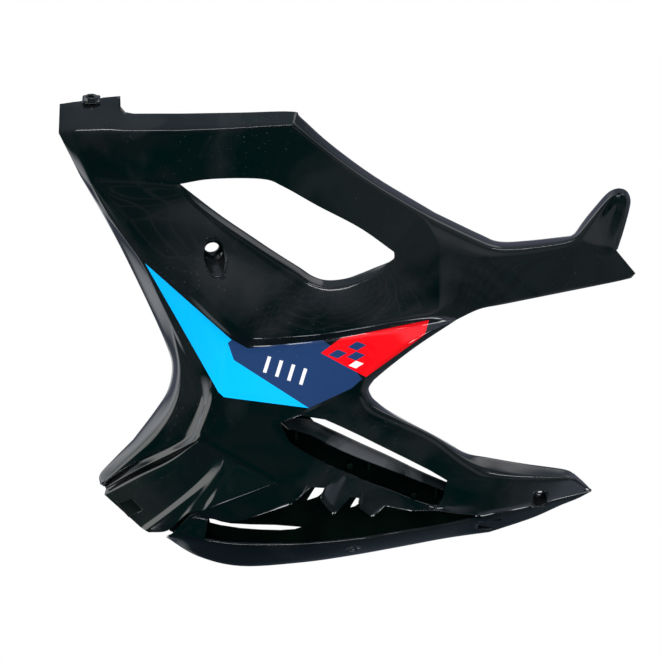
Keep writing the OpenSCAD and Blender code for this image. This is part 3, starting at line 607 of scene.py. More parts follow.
@dataclass(frozen=True)
class TopTab:
    """Tab on the top edge: a rounded plate with a raised ring round its hole."""
    hole_r: float = 0.004
    ring_r: float = 0.0075
    ring_h: float = 0.004
    half_w: float = 0.010
    top: float = 0.013
    foot: float = -0.008
    wall: float = 0.003
    edge: float = 0.0008
    power: int = 9
    seat: tuple = (90.3, 98.5, 30)
    lean: float = math.radians(25)

    @property
    def hole(self) -> tuple:
        """The hole's middle and its direction."""
        return GRID.place(self.seat), np.array([0.0, -math.sin(self.lean), math.cos(self.lean)])

    def outline(self, a: Array) -> Array:
        """Distance from the hole's axis to the rounded plate's edge at each angle.

        Args:
            a: angles.
        Returns:
            Distances: the smaller way to a side, softened by a high power so that corners round.
        """
        x, y = np.cos(a), np.sin(a)
        reach_y = np.where(y > 0, self.top, -self.foot)
        return (np.abs(x / self.half_w) ** self.power
                + np.abs(y / reach_y) ** self.power) ** (-1 / self.power)

    def build(self) -> Piece:
        """Makes the tab as one closed profile carried round the hole.

        Returns:
            The tab's object.
        """
        edge, e = self.outline(np.linspace(0, 2 * np.pi, ROUND, endpoint=False)), self.edge
        profile = ((self.hole_r, self.ring_h - e), (self.hole_r + e, self.ring_h),
                   (self.ring_r - e, self.ring_h), (self.ring_r, self.ring_h - e), (self.ring_r, e),
                   (self.ring_r + e, 0), (edge - e, 0), (edge - 0.3 * e, -0.3 * e), (edge, -e),
                   (edge, -self.wall), (self.hole_r, -self.wall))
        r, h = (np.array([np.broadcast_to(v[k], ROUND) for v in profile]) for k in (0, 1))
        return revolve("top_tab", *self.hole, r, h, closed=True)


@dataclass
class SidePanel:
    """The main moulding: shell, screw recesses, belly holes and top tab."""
    wall: float = 0.003
    tab: TopTab = TopTab()
    rounding: int = 6
    seat_depth: float = 0.0015
    seat_tilt: float = 60
    hole_r: float = 0.006
    hole_at: tuple = (354.5, 550, 26.5)
    slot_at: tuple = (488.5, 526.5, 22)
    slot_size: tuple = (0.022, 0.014)
    slot_turn: float = -math.radians(10)
    pad_edge: float = 0.0025
    pad_from: float = 0.0017
    pad_to: float = 0.004
    reach: float = 0.015
    tail_floor: float = 0.012
    tab_reach: float = 0.012

    def build(self) -> list:
        """Makes every piece of the side panel.

        Returns:
            The list of objects.
        """
        skin = Skin.welded(side_panel_faces()).soften(self.rounding)
        shell = skin.mesh("panel_shell")
        tree = BVHTree.FromPolygons(skin.points.tolist(), skin.corners())
        give_wall(shell, self.wall)
        tail_way = screw_way(45, 0)
        recesses = [
            ScrewRecess("side_screw_recess", np.zeros(3), screw_way(42, 15), hole_d=0.0155, cup_d=0.023),
            ScrewRecess("tail_screw_recess", GRID.place((540, 500, 7)) - self.tail_floor * tail_way, tail_way,
                        hole_d=0.0065, cup_d=0.015)]
        pieces = ([shell] + [r.build(shell, tree) for r in recesses] + [self.tab.build()]
                  + self.belly_seats(shell))
        cut_away(shell, revolve("cut", *self.tab.hole, [self.tab.hole_r] * 2,
                                [-self.tab_reach, self.tab_reach], SMALL_ROUND))
        return pieces

    def belly_seats(self, shell: Piece) -> list:
        """Cuts the belly flange's shallow round seat and clip slot, and makes the pads behind them.

        Args:
            shell: the panel with its wall.
        Returns:
            The two pads.
        """
        hole, slot, way = GRID.place(self.hole_at), GRID.place(self.slot_at), screw_way(self.seat_tilt, 0)
        deep, low, high = self.seat_depth, -self.pad_to, -self.pad_from
        cut_away(shell, revolve("cut", hole, way, [self.hole_r] * 2, [-deep, self.reach], SMALL_ROUND))
        cut_away(shell, box_tool(slot + (self.reach / 2 - deep / 2) * way, way,
                                 (*self.slot_size, self.reach + deep), self.slot_turn))
        width, height = (v + 2 * self.pad_edge for v in self.slot_size)
        return [revolve("belly_seat", hole, way, [self.hole_r + self.pad_edge] * 2, [low, high], SMALL_ROUND),
                box_tool(slot + (low + high) / 2 * way, way, (width, height, high - low), self.slot_turn,
                         "slot_seat")]


def screw_way(tilt: float, turn: float) -> Array:
    """Direction out of the panel, tilted down and turned to the right, in degrees."""
    t, s = math.radians(tilt), math.radians(turn)
    return np.array([math.cos(t) * math.sin(s), -math.cos(t) * math.cos(s), -math.sin(t)])


def box_tool(centre: Array, way: Array, size: tuple, turn: float, name: str = "cut") -> Piece:
    """Block of the given size, its last side along way, turned about it.

    Args:
        centre: middle of the block.
        way: direction of its last side.
        size: the three sides in metres.
        turn: turn about way in radians.
        name: the block's name.
    Returns:
        The block's object.
    """
    u, v, w = axes_of(way)
    c, s = math.cos(turn), math.sin(turn)
    b = np.stack([c * u + s * v, c * v - s * u, w]) * (np.array(size)[:, None] / 2)
    square = [[-1, -1], [1, -1], [1, 1], [-1, 1]]
    k = np.array([[x, y, z] for z in (-1, 1) for x, y in square])
    sides = [[i, (i + 1) % 4, (i + 1) % 4 + 4, i + 4] for i in range(4)]
    return make_object(name, centre + k @ b, [[0, 3, 2, 1], [4, 5, 6, 7]] + sides, False)


def prism_tool(outline: tuple, reach: float = 0.16, depth: float = 0.0, name: str = "cut") -> Piece:
    """Block along the viewer's depth with an outline given in columns and rows.

    Args:
        outline: the corners in order.
        reach: its depth in metres.
        depth: where its middle lies, in millimetres behind the drawing's plane.
        name: the block's name.
    Returns:
        The block's object.
    """
    p = GRID.place(np.array([(c, r, depth) for c, r in outline], float))
    k, n = np.arange(len(p)), len(p)
    points = np.vstack([p - [0, reach / 2, 0], p + [0, reach / 2, 0]])
    after = np.roll(k, -1)
    sides = np.stack([k, after, after + n, k + n], -1).tolist()
    return make_object(name, points, sides + [k[::-1].tolist(), (k + n).tolist()], False)


@dataclass
class FrontInsert:
    """Insert under the seam: two facets past a rolled ridge and a tip along the seam."""
    wall: float = 0.0026
    fit_gap: float = 0.3
    clip_hole: float = 0.0155
    clip_at: tuple = (129.3, 507.8, 42)
    across_seam: tuple = (-0.48, 0.88, 0.0)
    past_tip: tuple = (-2.4, -0.17, 0.0)
    edge_lean: tuple = (6.5, -2.5, -6.5)
    edge_set: tuple = (0.0, 0.0, -1.5)
    pocket_depth: float = 0.012

    def clip_outline(self, side: float) -> list:
        """Corners of the four-sided clip hole, or of the pocket round it, with sides as long as given."""
        along, down = np.array([0.92, -0.31]), np.array([0.74, 0.8])
        half = side / (2 * GRID.square)
        signs = ((-1, -1), (1, -1), (1, 1), (-1, 1))
        return [np.array(self.clip_at[:2]) + half * (x * along + y * down) for x, y in signs]

    def beside_seam(self, t: float) -> Array:
        """Point beside the seam at the share t of it, the fit gap away."""
        return SEAM_START + (SEAM_END - SEAM_START) * t + self.gap(self.across_seam)

    def gap(self, way: tuple) -> Array:
        """The fit gap laid along way, in squares."""
        return np.array(way) * (self.fit_gap / (GRID.square * MM))

    def build(self) -> list:
        """Makes the insert's shell with its clip hole.

        Returns:
            The list of objects.
        """
        n = SPANS
        start, ridge_top, roll_top, shoulder, edge_top = map(self.beside_seam, (0.02, 0.24, 0.36, 0.46, 0.53))
        tip = SEAM_END + self.gap(self.past_tip)
        turn = pt(200.2, 511.4, 15.2)
        top = join(
            bend([(103, 495.5, 46), (137, 477.5, 30), (170, 461, 16), start]), line(start, ridge_top, n))
        ridge = join(
            bend([(139, 528, 46), (168, 506.5, 33), (195.5, 483.5, 19), (214, 461, 5)], n),
            line((214, 461, 5), ridge_top, n))
        roll = join(
            bend([(145, 532, 41), (175, 509.5, 27), (203.5, 485.5, 12), (224, 461.5, -3)], n),
            line((224, 461.5, -3), roll_top, n))
        bottom = join(
            bend([(148, 533.5, 42), (167, 531.5, 39), (185, 515.8, 24), turn]), line(turn, shoulder, n))
        edge_turn, edge_top = turn + self.edge_lean, edge_top + self.edge_set
        flange = bend([(106, 484, 60), (136, 463, 44), (171, 447, 30), start])
        faces = [Face(flange, head(top, 3 * n), n), Face(head(top, 3 * n), head(ridge, 3 * n), 4 * n, -2),
                 Face(tail(top, 3 * n), tail(ridge, 3 * n), 4 * n),
                 Face(ridge, roll, n), Face(roll, bottom, 2 * n),
                 Face(line(turn, shoulder, n), line(edge_turn, edge_top, n), n // 2),
                 Face(line(edge_turn, edge_top, n), np.repeat(tip[None], n + 1, 0), 2 * n)]
        shell = Skin.welded(faces).soften(4).mesh("insert_shell")
        give_wall(shell, self.wall)
        deep, front, hole = self.pocket_depth, self.clip_at[2], self.clip_outline(self.clip_hole)
        around = self.clip_outline(self.clip_hole + 2 * self.wall)
        pocket = prism_tool(around, deep, front + deep * MM / 2, "clip_pocket")
        cut_away(pocket, prism_tool(hole, 2 * deep - self.wall, front - self.wall * MM / 2))
        cut_away(shell, prism_tool(hole))
        return [shell, pocket]


@dataclass
class DuctPanel:
    """Duct behind the openings: curved floor, blade, ribs and pegs."""
    wall: float = 0.0026
    rib_columns: tuple = (297, 369, 436)
    rib_h: float = 0.0115
    rib_fall: float = 0.46
    rib_drop: float = 0.0075
    rib_front: float = 0.006
    rib_back: float = 0.034
    rib_edge: float = 0.0004
    peg_spots: tuple = ((350, 466.5, -6), (414, 496, -1), (441, 503, 4.5))
    peg_r: float = 0.003
    peg_l: float = 0.039
    peg_edge: float = 0.0006
    front_vent: tuple = ((208.5, 519.3), (214, 520.3), (220, 522.3), (230, 524.3), (250, 525.3), (275, 525.8),
                         (301, 527.8), (295, 529.8), (280, 530.8), (260, 530.3), (240, 528.8), (220, 525.8),
                         (209.5, 523.3))
    tooth_vents: tuple = (((316, 486.6), (326, 487.6), (323.5, 491.6), (320.5, 495.1), (317, 497.6),
                           (311, 499.6), (307, 500.8)),
                          ((357.3, 497.1), (363.5, 498.1), (362, 500.6), (359, 504.1), (354.5, 507.1),
                           (350.5, 508.1), (353, 503.6), (355, 500.6)))

    def build(self) -> list:
        """Makes the duct's pieces.

        Returns:
            The list of objects.
        """
        n = SPANS
        blade_back = bend([
            (278, 420, 10), (306, 419, 12), (330, 428.5, 13), (360, 442.5, 14), (390, 456, 14),
            (420, 470.5, 14), (450.5, 483.5, 14)])
        blade_front = bend([
            (288, 428, 4), (310, 435, 3), (330, 445, 2), (352, 455, 2), (378, 465, 3), (405, 475, 4),
            (445, 490.5, 6)])
        floor_top = bend([
            (268, 414, 28), (303, 413, 30), (322, 431, 31), (345, 445, 32), (380, 459, 33), (415, 474, 34),
            (453, 489, 34)])
        floor_mid = bend([
            (284, 498, 34), (310, 504, 34.5), (330, 507, 35), (358, 509, 35), (402, 511, 34), (430, 513, 32),
            (476, 514, 26)])
        floor_low = bend([
            (304, 552.5, 34), (317, 551, 33.5), (330, 549.5, 33), (358, 541.5, 32), (402, 539.3, 31),
            (430, 534.5, 30), (476, 522, 26)])
        channel_top = bend([
            (168, 512, 52), (190, 511, 41), (208, 510, 36), (230, 510, 34), (262, 507, 34), (284, 498, 34)])
        channel_low = bend([
            (168, 532, 54), (188, 541, 46), (208, 549, 41), (236, 554, 36), (270, 554, 35), (304, 552.5, 34)])
        floor = Skin.welded([Face(floor_top, floor_mid, 4 * n), Face(floor_mid, floor_low, 2 * n),
                             Face(channel_top, channel_low, 2 * n)]).soften(3).mesh("duct_floor")
        blade = Skin.welded([Face(blade_back, blade_front, n, -2)]).soften(1).mesh("duct_blade")
        for ob in (floor, blade):
            give_wall(ob, self.wall)
        for outline in (self.front_vent,) + self.tooth_vents:
            cut_away(floor, prism_tool(outline))
        pieces, towards = [floor, blade], np.array([0.0, -1.0, 0.0])
        for c in self.rib_columns:
            z = GRID.place(blade_front[0])[2] - self.rib_drop - self.rib_fall * (c - self.rib_columns[0]) / MM
            centre = np.array([GRID.place((c, 0, 0))[0], (self.rib_front + self.rib_back) / 2, z])
            rib = box_tool(centre, towards, (self.wall, self.rib_h, self.rib_back - self.rib_front), 0.0,
                           f"duct_rib_{c}")
            b = rib.modifiers.new("edges", "BEVEL")
            b.width, b.segments = self.rib_edge, 2
            pieces.append(settle(rib))
        e, r = self.peg_edge, self.peg_r
        for spot in self.peg_spots:
            pieces.append(revolve(f"duct_peg_{spot[0]}", GRID.place(spot), towards,
                                  [r - e, r - 0.3 * e, r, r], [0.0, -0.3 * e, -e, -self.peg_l], PEG_ROUND))
        return pieces


class Tree:
    """Small pen for a node tree: adds nodes and links them in a row."""

    def __init__(self, tree: bpy.types.NodeTree) -> None:
        """Takes the node tree to draw in."""
        self.tree = tree

    def add(self, kind: str, inputs: dict | None = None, **values: object) -> bpy.types.Node:
        """Adds a node.

        Args:
            kind: Blender's node type.
            inputs: socket name or number to a value or an output socket.
            values: properties of the node.
        Returns:
            The node.
        """
        node = self.tree.nodes.new(kind)
        for key, value in values.items():
            setattr(node, key, value)
        for key, value in (inputs or {}).items():
            if isinstance(value, Socket):
                self.tree.links.new(value, node.inputs[key])
            else:
                node.inputs[key].default_value = value
        return node

    def math(self, operation: str, *values: object, clamp: bool = False) -> Socket:
        """Adds a Math node and gives its output."""
        node = self.add("ShaderNodeMath", dict(enumerate(values)), operation=operation, use_clamp=clamp)
        return node.outputs[0]

    def times(self, first: Socket, *others: Socket) -> Socket:
        """Product of all the values."""
        for value in others:
            first = self.math("MULTIPLY", first, value)
        return first

    def away(self, value: Socket, middle: float) -> Socket:
        """How far the value is from the middle."""
        return self.math("ABSOLUTE", self.math("SUBTRACT", value, middle))

    def bars(self, value: Socket, rim: float, core: float) -> Socket:
        """Bars in the middle of each unit of the value, which fade from core to rim."""
        return self.step(self.away(self.math("FRACT", value), 0.5), rim, core)

    def dot(self, vector: Socket, aim: tuple) -> Socket:
        """Dot product of a vector and three fixed numbers."""
        return self.add("ShaderNodeVectorMath", {0: vector, 1: aim}, operation="DOT_PRODUCT").outputs["Value"]

    def noise(self, vector: Socket, scale: float, detail: float, distortion: float = 0.0) -> Socket:
        """Value of a noise texture."""
        return self.add("ShaderNodeTexNoise", {"Vector": vector, "Scale": scale, "Detail": detail,
                                               "Distortion": distortion}).outputs[0]

    def group(self, tree: bpy.types.NodeTree, **inputs: object) -> Socket:
        """Output of a shared node group."""
        return self.add("ShaderNodeGroup", inputs, node_tree=tree).outputs[0]

    def mix(self, factor: object, a: object, b: object) -> Socket:
        """Mixes two colours, sockets or three numbers, by a factor."""
        a, b = ((*c, 1.0) if isinstance(c, tuple) else c for c in (a, b))
        return self.add("ShaderNodeMix", {0: factor, 6: a, 7: b}, data_type="RGBA").outputs[2]

    def step(self, value: object, low: float, high: float) -> Socket:
        """Runs from 0 to 1 while the value goes from low to high."""
        return self.add("ShaderNodeMapRange", {0: value, 1: low, 2: high, 3: 0.0, 4: 1.0}).outputs[0]


def empty_tree(owner: bpy.types.Material | bpy.types.World) -> Tree:
    """Pen of the emptied node tree of a material or world."""
    owner.use_nodes = True
    owner.node_tree.nodes.clear()
    return Tree(owner.node_tree)


def shader_group(name: str, inputs: dict, output: tuple) -> tuple:
    """Makes an empty node group with named sockets.

    Args:
        name: the group's name.
        inputs: socket name to its default, a number, a colour or None for a vector.
        output: the output's name and kind.
    Returns:
        The group, its pen, its input node and its output node.
    """
    group = bpy.data.node_groups.new(name, "ShaderNodeTree")
    kinds = {float: "Float", tuple: "Color", type(None): "Vector"}
    for key, default in inputs.items():
        socket = group.interface.new_socket(key, in_out="INPUT",
                                            socket_type="NodeSocket" + kinds[type(default)])
        if default is not None:
            socket.default_value = default
    group.interface.new_socket(output[0], in_out="OUTPUT", socket_type="NodeSocket" + output[1])
    pen = Tree(group)
    return group, pen, pen.add("NodeGroupInput"), pen.add("NodeGroupOutput")


def dust_group() -> bpy.types.NodeTree:
    """Fine dust: sparse round specks that lie in patches.

    Returns:
        The group: Vector, Scale and Share in, Mask out.
    """
    group, pen, inp, out = shader_group("fine_dust", {"Vector": None, "Scale": 400.0, "Share": 0.12},
                                        ("Mask", "Float"))
    speck_size, patch_scale = 0.13, 9.0
    cells = pen.add("ShaderNodeTexVoronoi", {"Vector": inp.outputs[0], "Scale": inp.outputs[1]}, feature="F1")
    speck = pen.math("LESS_THAN", cells.outputs["Distance"], speck_size)
    pick = pen.add("ShaderNodeSeparateColor", {0: cells.outputs["Color"]})
    chosen = pen.math("LESS_THAN", pick.outputs[0], inp.outputs[2])
    area = pen.step(pen.noise(inp.outputs[0], patch_scale, 3.0), 0.42, 0.62)
    pen.tree.links.new(pen.times(speck, chosen, area, pick.outputs[1]), out.inputs[0])
    return group


def peel_group() -> bpy.types.NodeTree:
    """Orange peel of sprayed lacquer: a fine wave, a finer one and the moulding's slow wave.

    Returns:
        The group: Vector and Depth in, Height out in metres.
    """
    group, pen, inp, out = shader_group("orange_peel", {"Vector": None, "Depth": 0.00001},
                                        ("Height", "Float"))
    finer_share, slow_share = 0.16, 50.0
    fine, finer = (pen.noise(inp.outputs[0], scale, 1.0) for scale in (60.0, 420.0))
    wave = pen.math("MULTIPLY_ADD", finer, finer_share, fine)
    wave = pen.math("MULTIPLY_ADD", pen.noise(inp.outputs[0], 11.0, 0.0), slow_share, wave)
    pen.tree.links.new(pen.math("MULTIPLY", wave, inp.outputs[1]), out.inputs[0])
    return group


@dataclass(frozen=True)
class FilmAndGlintField:
    """One flat field of the printed decal, or the painted glint laid on it: a convex outline on the drawing
    and its colour.
    """
    outline: tuple
    colour: tuple

    def mask(self, pen: Tree, spot: Socket, soft: float = 0.00018) -> Socket:
        """Share of the field at a spot: the least of the distances inside its sides, over soft.

        Args:
            pen: the pen of the node tree.
            spot: the Object coordinates.
            soft: width of the print's edge in metres.
        Returns:
            The mask's socket.
        """
        p = GRID.place(np.array([(c, r, 0) for c, r in self.outline], float))[:, [0, 2]]
        q = np.roll(p, -1, axis=0)
        d = q - p
        normal = np.stack([-d[:, 1], d[:, 0]], -1) / np.linalg.norm(d, axis=1)[:, None]
        if (normal[0] * (p.mean(0) - p[0])).sum() < 0:
            normal = -normal
        value = None
        for (nx, nz), (x, z) in zip(normal.tolist(), p.tolist()):
            inside = pen.dot(spot, (nx / soft, 0.0, nz / soft))
            side = pen.math("ADD", inside, 0.5 - (nx * x + nz * z) / soft, clamp=True)
            value = side if value is None else pen.math("MINIMUM", value, side)
        return value


def diamond(column: float, row: float, half_w: float = 9.5, half_h: float = 4.6) -> tuple:
    """Outline of a check that stands on its corner; the painted glint has the same shape."""
    return ((column - half_w, row + 1.0), (column, row - half_h),
            (column + half_w, row - 1.0), (column, row + half_h))


def stripe(column: float, row: float, height: float, slant: float = 5.0, width: float = 3.4) -> tuple:
    """Outline of a slanted stripe that starts at its upper right."""
    return ((column, row), (column + width, row + 1.0), (column + width - slant, row + 1.0 + height),
            (column - slant, row + height))


BLUE, NAVY, RED, WHITE = (0.0, 0.47, 1.0), (0.0135, 0.039, 0.125), (0.93, 0.0, 0.005), (0.8, 0.8, 0.82)
# Fields of the printed decal in the order they are laid; the white check among them is a painted glint.
FILM_AND_GLINT = (
    FilmAndGlintField(((145, 263), (232, 340), (309, 408), (224, 397), (218.5, 392)), BLUE),
    FilmAndGlintField(((228, 343), (232, 339.5), (250, 349.5), (309, 408), (234, 360)), NAVY),
    FilmAndGlintField(((244, 348.8), (322, 340), (341, 352), (362, 379), (352, 388), (309, 408), (262, 372)), NAVY),
    FilmAndGlintField(((341, 338), (429, 320), (425, 334), (415, 342), (366, 377), (321, 353)), RED),
    *(FilmAndGlintField(diamond(*at), NAVY) for at in ((357, 346), (337.5, 354), (356, 356))),
    # Painted glint: this white check paints a lamp's glare on the red print as colour.
    FilmAndGlintField(diamond(356, 364.5, 7.5, 3.8), WHITE),
    *(FilmAndGlintField(stripe(268 + 12 * k, 356 + 4 * k, 16), WHITE) for k in range(4)))


def film_and_glint_group() -> bpy.types.NodeTree:
    """Printed decal under the lacquer, with a painted white glint on its red field: its fields laid over the
    base colour in order.

    Returns:
        The group: Vector, Side and Base in, Color out.
    """
    group, pen, inp, out = shader_group(
        "printed_film_and_glint", {"Vector": None, "Side": 1.0, "Base": (0.01, 0.01, 0.01, 1.0)}, ("Color", "Color"))
    colour = inp.outputs[2]
    for f in FILM_AND_GLINT:
        colour = pen.mix(pen.math("MULTIPLY", f.mask(pen, inp.outputs[0]), inp.outputs[1]), colour, f.colour)
    pen.tree.links.new(colour, out.inputs[0])
    return group


@dataclass(frozen=True)
class Lacquer:
    """Black lacquer or satin with orange peel, random hazy patches that also carry a painted sheen, dust and,
    on the side panel, the printed decal with its painted glint.
    """
    name: str
    base: tuple
    # Colour of the lighter patches: random tone, a painted sheen towards the right side, and on the blade
    # painted grey highlights.
    haze_and_sheen: tuple
    roughness: float
    film_and_glint: bool = False
    peel: float = 0.000016
    dust: float = 0.2
    coat: float = 0.6
    ior: float = 1.45
    dust_colour: tuple = (0.35, 0.36, 0.38)
    dust_scale: float = 430.0
    cloud_scale: float = 14.0
    patch_scale: float = 9.0

    def make(self, groups: dict) -> bpy.types.Material:
        """Makes the material.

        Args:
            groups: the shared node groups by name.
        Returns:
            The material.
        """
        mat = bpy.data.materials.new(self.name)
        pen = empty_tree(mat)
        painted_sheen_right, dust_share, cloud_rough, dust_rough, coat_rough = 0.1, 0.5, 0.05, 0.4, 0.02
        spot = pen.add("ShaderNodeTexCoord").outputs["Object"]
        # Painted sheen: the lighter patches grow more common towards the right side (x from 0.08 to 0.2 m),
        # on top of their random spread.
        right = pen.step(pen.add("ShaderNodeSeparateXYZ", {0: spot}).outputs[0], 0.08, 0.2)
        share = pen.math("MULTIPLY_ADD", right, painted_sheen_right, pen.noise(spot, self.patch_scale, 4.0, 0.8))
        base = pen.mix(pen.step(share, 0.47, 0.6), self.base, self.haze_and_sheen)
        if self.film_and_glint:
            normal = pen.add("ShaderNodeSeparateXYZ", {0: pen.add("ShaderNodeNewGeometry").outputs["Normal"]})
            front = pen.step(normal.outputs[1], -0.05, -0.15)
            base = pen.group(groups["film_and_glint"], Vector=spot, Side=front, Base=base)
        dust = pen.group(groups["dust"], Vector=spot, Scale=self.dust_scale, Share=self.dust)
        colour = pen.mix(pen.math("MULTIPLY", dust, dust_share), base, self.dust_colour)
        rough = pen.math("MULTIPLY_ADD", pen.noise(spot, self.cloud_scale, 4.0), cloud_rough, self.roughness)
        rough = pen.math("MULTIPLY_ADD", dust, dust_rough, rough)
        peel = pen.group(groups["peel"], Vector=spot, Depth=self.peel)
        bump = pen.add("ShaderNodeBump", {"Height": peel, "Strength": 1.0, "Distance": 1.0})
        bsdf = pen.add("ShaderNodeBsdfPrincipled", {
            "Base Color": colour, "Roughness": rough, "Normal": bump.outputs[0], "Coat Weight": self.coat,
            "Coat Roughness": coat_rough, "IOR": self.ior})
        pen.add("ShaderNodeOutputMaterial", {0: bsdf.outputs[0]})
        return mat


PANEL_LACQUER = Lacquer("panel_lacquer", (0.0, 0.0016, 0.0018), (0.0065, 0.0072, 0.0082), 0.08, film_and_glint=True)
INSERT_LACQUER = Lacquer("insert_lacquer", (0.001, 0.0035, 0.0035), (0.0085, 0.0095, 0.0095), 0.09)
DUCT_SATIN = Lacquer("duct_satin", (0.0, 0.0009, 0.0004), (0.0, 0.0032, 0.0014), 0.3, peel=0.00001, dust=0.05,
                     coat=0.0, ior=1.3)
# Painted highlight: the blade's light grey patches paint the glare on its face as colour.
BLADE_SATIN_AND_SHEEN = Lacquer("blade_satin_and_sheen", (0.004, 0.007, 0.008), (0.06, 0.064, 0.07), 0.22, peel=0.00001, dust=0.1,
                      coat=0.3, ior=1.4)


@dataclass(frozen=True)
class Glow:
    """Round light patch of the room: its direction, the cosines at its rim and core, and its colour."""
    aim: tuple
    rim: float
    core: float
    colour: tuple


@dataclass(frozen=True)
class Room:
    """Colours of the room that the lacquer reflects, named by where they lie."""
    upper: tuple = ((0.0, 0.07, 0.07), (0.045, 0.07, 0.068))
    lower: tuple = ((0.0, 0.085, 0.08), (0.07, 0.11, 0.11))
    behind: tuple = ((0.08, 0.10, 0.13), (0.16, 0.17, 0.23))
    roof_line: tuple = (0.2, 0.22, 0.23)
    beam: tuple = (0.0, 0.012, 0.014)
    ground: tuple = (0.05, 0.075, 0.10)
    overhead: tuple = (0.22, 0.27, 0.32)
    left: tuple = (1.5, 1.56, 1.65)
    right: tuple = (0.3, 0.3, 0.34)
    tube: tuple = (9.0, 9.3, 9.6)
    tail_band: tuple = (1.0, 1.0, 1.05)
    diffuse: tuple = (0.62, 0.63, 0.65)
    white: tuple = (1.0, 1.0, 1.0)
    glows: tuple = (Glow((-0.887, -0.322, 0.332), 0.93, 0.96, (2.3, 2.35, 2.3)),
                    Glow((0.3, -0.75, -0.59), 0.972, 0.99, (0.5, 0.58, 0.72)),
                    Glow((0.42, -0.84, 0.36), 0.96, 0.99, (0.3, 0.33, 0.37)))

    def roof_lines(self, pen: Tree, x: Socket, z: Socket) -> Socket:
        """Mask of thin crossing lines overhead, like the beams of a hall's roof."""
        lines = [pen.bars(pen.math("MULTIPLY_ADD", z, up, pen.math("MULTIPLY", x, along)), 0.09, 0.04)
                 for along, up in ((16.0, 7.0), (-9.0, 18.0))]
        return pen.times(pen.math("MAXIMUM", *lines), pen.step(z, 0.15, 0.4))

    def beams(self, pen: Tree, x: Socket, z: Socket) -> Socket:
        """Mask of dark level beams to the right, which the twisted arm shows as faint bows."""
        bars = pen.bars(pen.math("MULTIPLY_ADD", z, 22.0, pen.math("MULTIPLY", x, 2.0)), 0.24, 0.1)
        return pen.times(bars, pen.step(pen.away(z, -0.03), 0.26, 0.2), pen.step(x, 0.17, 0.2))

    def tubes(self, pen: Tree, x: Socket, y: Socket, z: Socket) -> Socket:
        """Mask of a low row of short light tubes in front, which only rounded edges reflect."""
        part = pen.math("FRACT", pen.math("MULTIPLY", x, 7.0))
        front = pen.times(pen.math("LESS_THAN", y, 0.0), pen.math("GREATER_THAN", x, -0.1))
        return pen.times(pen.step(pen.away(z, -0.8), 0.05, 0.03), pen.math("GREATER_THAN", part, 0.5), front)

    def colour(self, pen: Tree, way: Socket) -> Socket:
        """Colour of the room in a direction, laid up in order.

        Args:
            pen: the pen of the world's node tree.
            way: the direction, with y away from the viewer.
        Returns:
            The colour's socket. The room is dark on the viewer's side, lighter overhead and to the
            left, and white straight behind the panel.
        """
        x, y, z = pen.add("ShaderNodeSeparateXYZ", {0: way}).outputs
        tone = pen.step(pen.noise(way, 7.0, 3.0), 0.38, 0.62)
        left = pen.math("MULTIPLY_ADD", y, 0.6, pen.math("MULTIPLY", x, -0.8))
        band = pen.times(pen.step(pen.away(y, 0.45), 0.26, 0.18), pen.step(z, 0.65, 0.8),
                         pen.step(x, 0.12, 0.18))
        colour = pen.mix(pen.step(z, 0.05, -0.12), pen.mix(tone, *self.upper), pen.mix(tone, *self.lower))
        for share, paint in (
                (self.roof_lines(pen, x, z), self.roof_line), (self.beams(pen, x, z), self.beam),
                (pen.step(z, -0.5, -0.85), self.ground), (pen.step(z, 0.72, 0.97), self.overhead),
                (pen.step(left, 0.55, 0.82), self.left),
                *((pen.step(pen.dot(way, g.aim), g.rim, g.core), g.colour) for g in self.glows),
                (pen.step(x, 0.7, 0.98), self.right), (self.tubes(pen, x, y, z), self.tube),
                (pen.step(y, 0.5, 0.8), pen.mix(pen.step(z, -0.2, 0.2), *self.behind)),
                (band, self.tail_band), (pen.step(y, 0.93, 1.0), self.white)):
            colour = pen.mix(share, colour, paint)
        return colour


@dataclass(frozen=True)
class Lamp:
    """Area lamp that looks at the panel's middle: place and sides in metres, power in watts."""
    name: str
    spot: tuple
    size: tuple
    power: float
    gloss: bool = False

    def add(self) -> None:
        """Adds the lamp. Only with gloss do reflections show it."""
        light = bpy.data.lights.new(self.name, "AREA")
        light.shape, light.energy = "RECTANGLE", self.power
        light.size, light.size_y = self.size
        ob = new_object(self.name, light)
        ob.location = self.spot
        middle = Vector(GRID.place(FRAME_MIDDLE).tolist())
        ob.rotation_euler = (middle - Vector(self.spot)).to_track_quat("-Z", "Y").to_euler()
        ob.visible_glossy = self.gloss
        ob.visible_camera = False


LAMPS = (Lamp("key_lamp", (-1.6, -2.6, 2.4), (1.6, 1.6), 95.0),
         Lamp("fill_lamp", (2.2, -3.2, 0.6), (1.8, 1.8), 70.0),
         Lamp("roof_strip", (0.3, -1.2, 3.2), (2.4, 0.12), 14.0, True))


def direct_view(pen: Tree) -> tuple:
    """Outputs of the light path, and 1 where a ray comes from the camera, straight or through something."""
    path = pen.add("ShaderNodeLightPath").outputs
    return path, pen.math("MAXIMUM", path["Is Camera Ray"], path["Is Transmission Ray"])


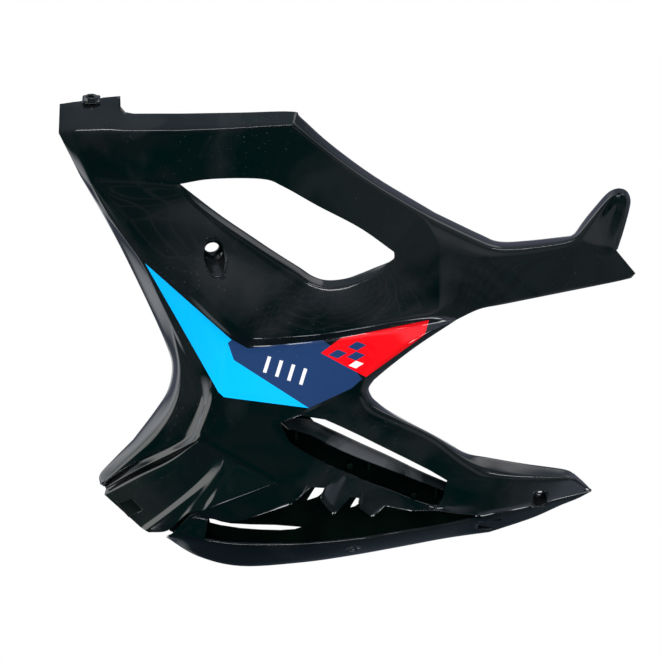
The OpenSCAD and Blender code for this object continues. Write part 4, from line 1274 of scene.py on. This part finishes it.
@dataclass
class Studio:
    """Pale floor, plain light and the camera at the photograph's view."""
    room: Room = Room()
    distance: float = 8.0
    sensor: float = 36.0
    frame_width: float = 660 * GRID.square
    floor_half: float = 4.0
    floor_gap: float = 0.01

    def camera(self) -> None:
        """Sets the camera level in front of the panel, so that 660 squares fill the frame."""
        cam = bpy.data.cameras.new("camera")
        cam.sensor_width = self.sensor
        cam.lens = self.sensor * self.distance / self.frame_width
        cam.clip_end = 100
        ob = new_object("camera", cam)
        middle = GRID.place(FRAME_MIDDLE)
        ob.location = (middle[0], -self.distance, middle[2])
        ob.rotation_euler = (math.pi / 2, 0, 0)
        bpy.context.scene.camera = ob

    def world(self) -> None:
        """White background, plain diffuse light and the room for reflections."""
        world = bpy.data.worlds.new("studio")
        bpy.context.scene.world = world
        pen = empty_tree(world)
        colour = self.room.colour(pen, pen.add("ShaderNodeTexCoord").outputs["Generated"])
        path, seen = direct_view(pen)
        plain = pen.mix(path["Is Diffuse Ray"], colour, self.room.diffuse)
        back = pen.add("ShaderNodeBackground",
                       {"Color": pen.mix(seen, plain, self.room.white), "Strength": 1.0})
        pen.add("ShaderNodeOutputWorld", {0: back.outputs[0]})

    def floor(self) -> None:
        """Lays a pale floor under the panel, white to the camera."""
        z, half = min(v[2] for v in CAD_BOX) - self.floor_gap, self.floor_half
        corners = [[x * half, y * half, z] for x, y in ((-1, -1), (1, -1), (1, 1), (-1, 1))]
        ob = make_object("floor", np.array(corners), [[0, 1, 2, 3]], False)
        mat = bpy.data.materials.new("floor_white")
        pen = empty_tree(mat)
        plain = pen.add("ShaderNodeBsdfDiffuse", {"Color": (0.5, 0.5, 0.52, 1)})
        glow = pen.add("ShaderNodeEmission", {"Color": (1, 1, 1, 1), "Strength": 1.0})
        mix = pen.add("ShaderNodeMixShader",
                      {0: direct_view(pen)[1], 1: plain.outputs[0], 2: glow.outputs[0]})
        pen.add("ShaderNodeOutputMaterial", {0: mix.outputs[0]})
        ob.data.materials.append(mat)
        ob.visible_glossy = False

    def build(self) -> None:
        """Sets up the whole studio."""
        bpy.context.scene.view_settings.view_transform = "Standard"
        self.camera()
        self.world()
        self.floor()
        for lamp in LAMPS:
            lamp.add()


def main() -> None:
    """Builds the pieces, dresses them and sets up the studio."""
    groups = {"dust": dust_group(), "peel": peel_group(), "film_and_glint": film_and_glint_group()}
    jobs = ((SidePanel(), Slot.GLOSS, "side_panel", PANEL_LACQUER),
            (FrontInsert(), Slot.INSERT, "front_insert", INSERT_LACQUER),
            (DuctPanel(), Slot.SATIN, "duct_panel", DUCT_SATIN))
    blade = BLADE_SATIN_AND_SHEEN.make(groups)
    for maker, slot, node, finish in jobs:
        material = finish.make(groups)
        for piece in maker.build():
            outward(piece).data.materials.clear()
            piece.data.materials.append(blade if piece.name == "duct_blade" else material)
            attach(piece, "root")
            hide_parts(node)
            log.info("%s: %d faces", piece.name, len(piece.data.polygons))
    Studio().build()
    bpy.context.view_layer.update()


if __name__ == "__main__":
    logging.basicConfig(level=logging.INFO, format="%(name)s: %(message)s")
    main()
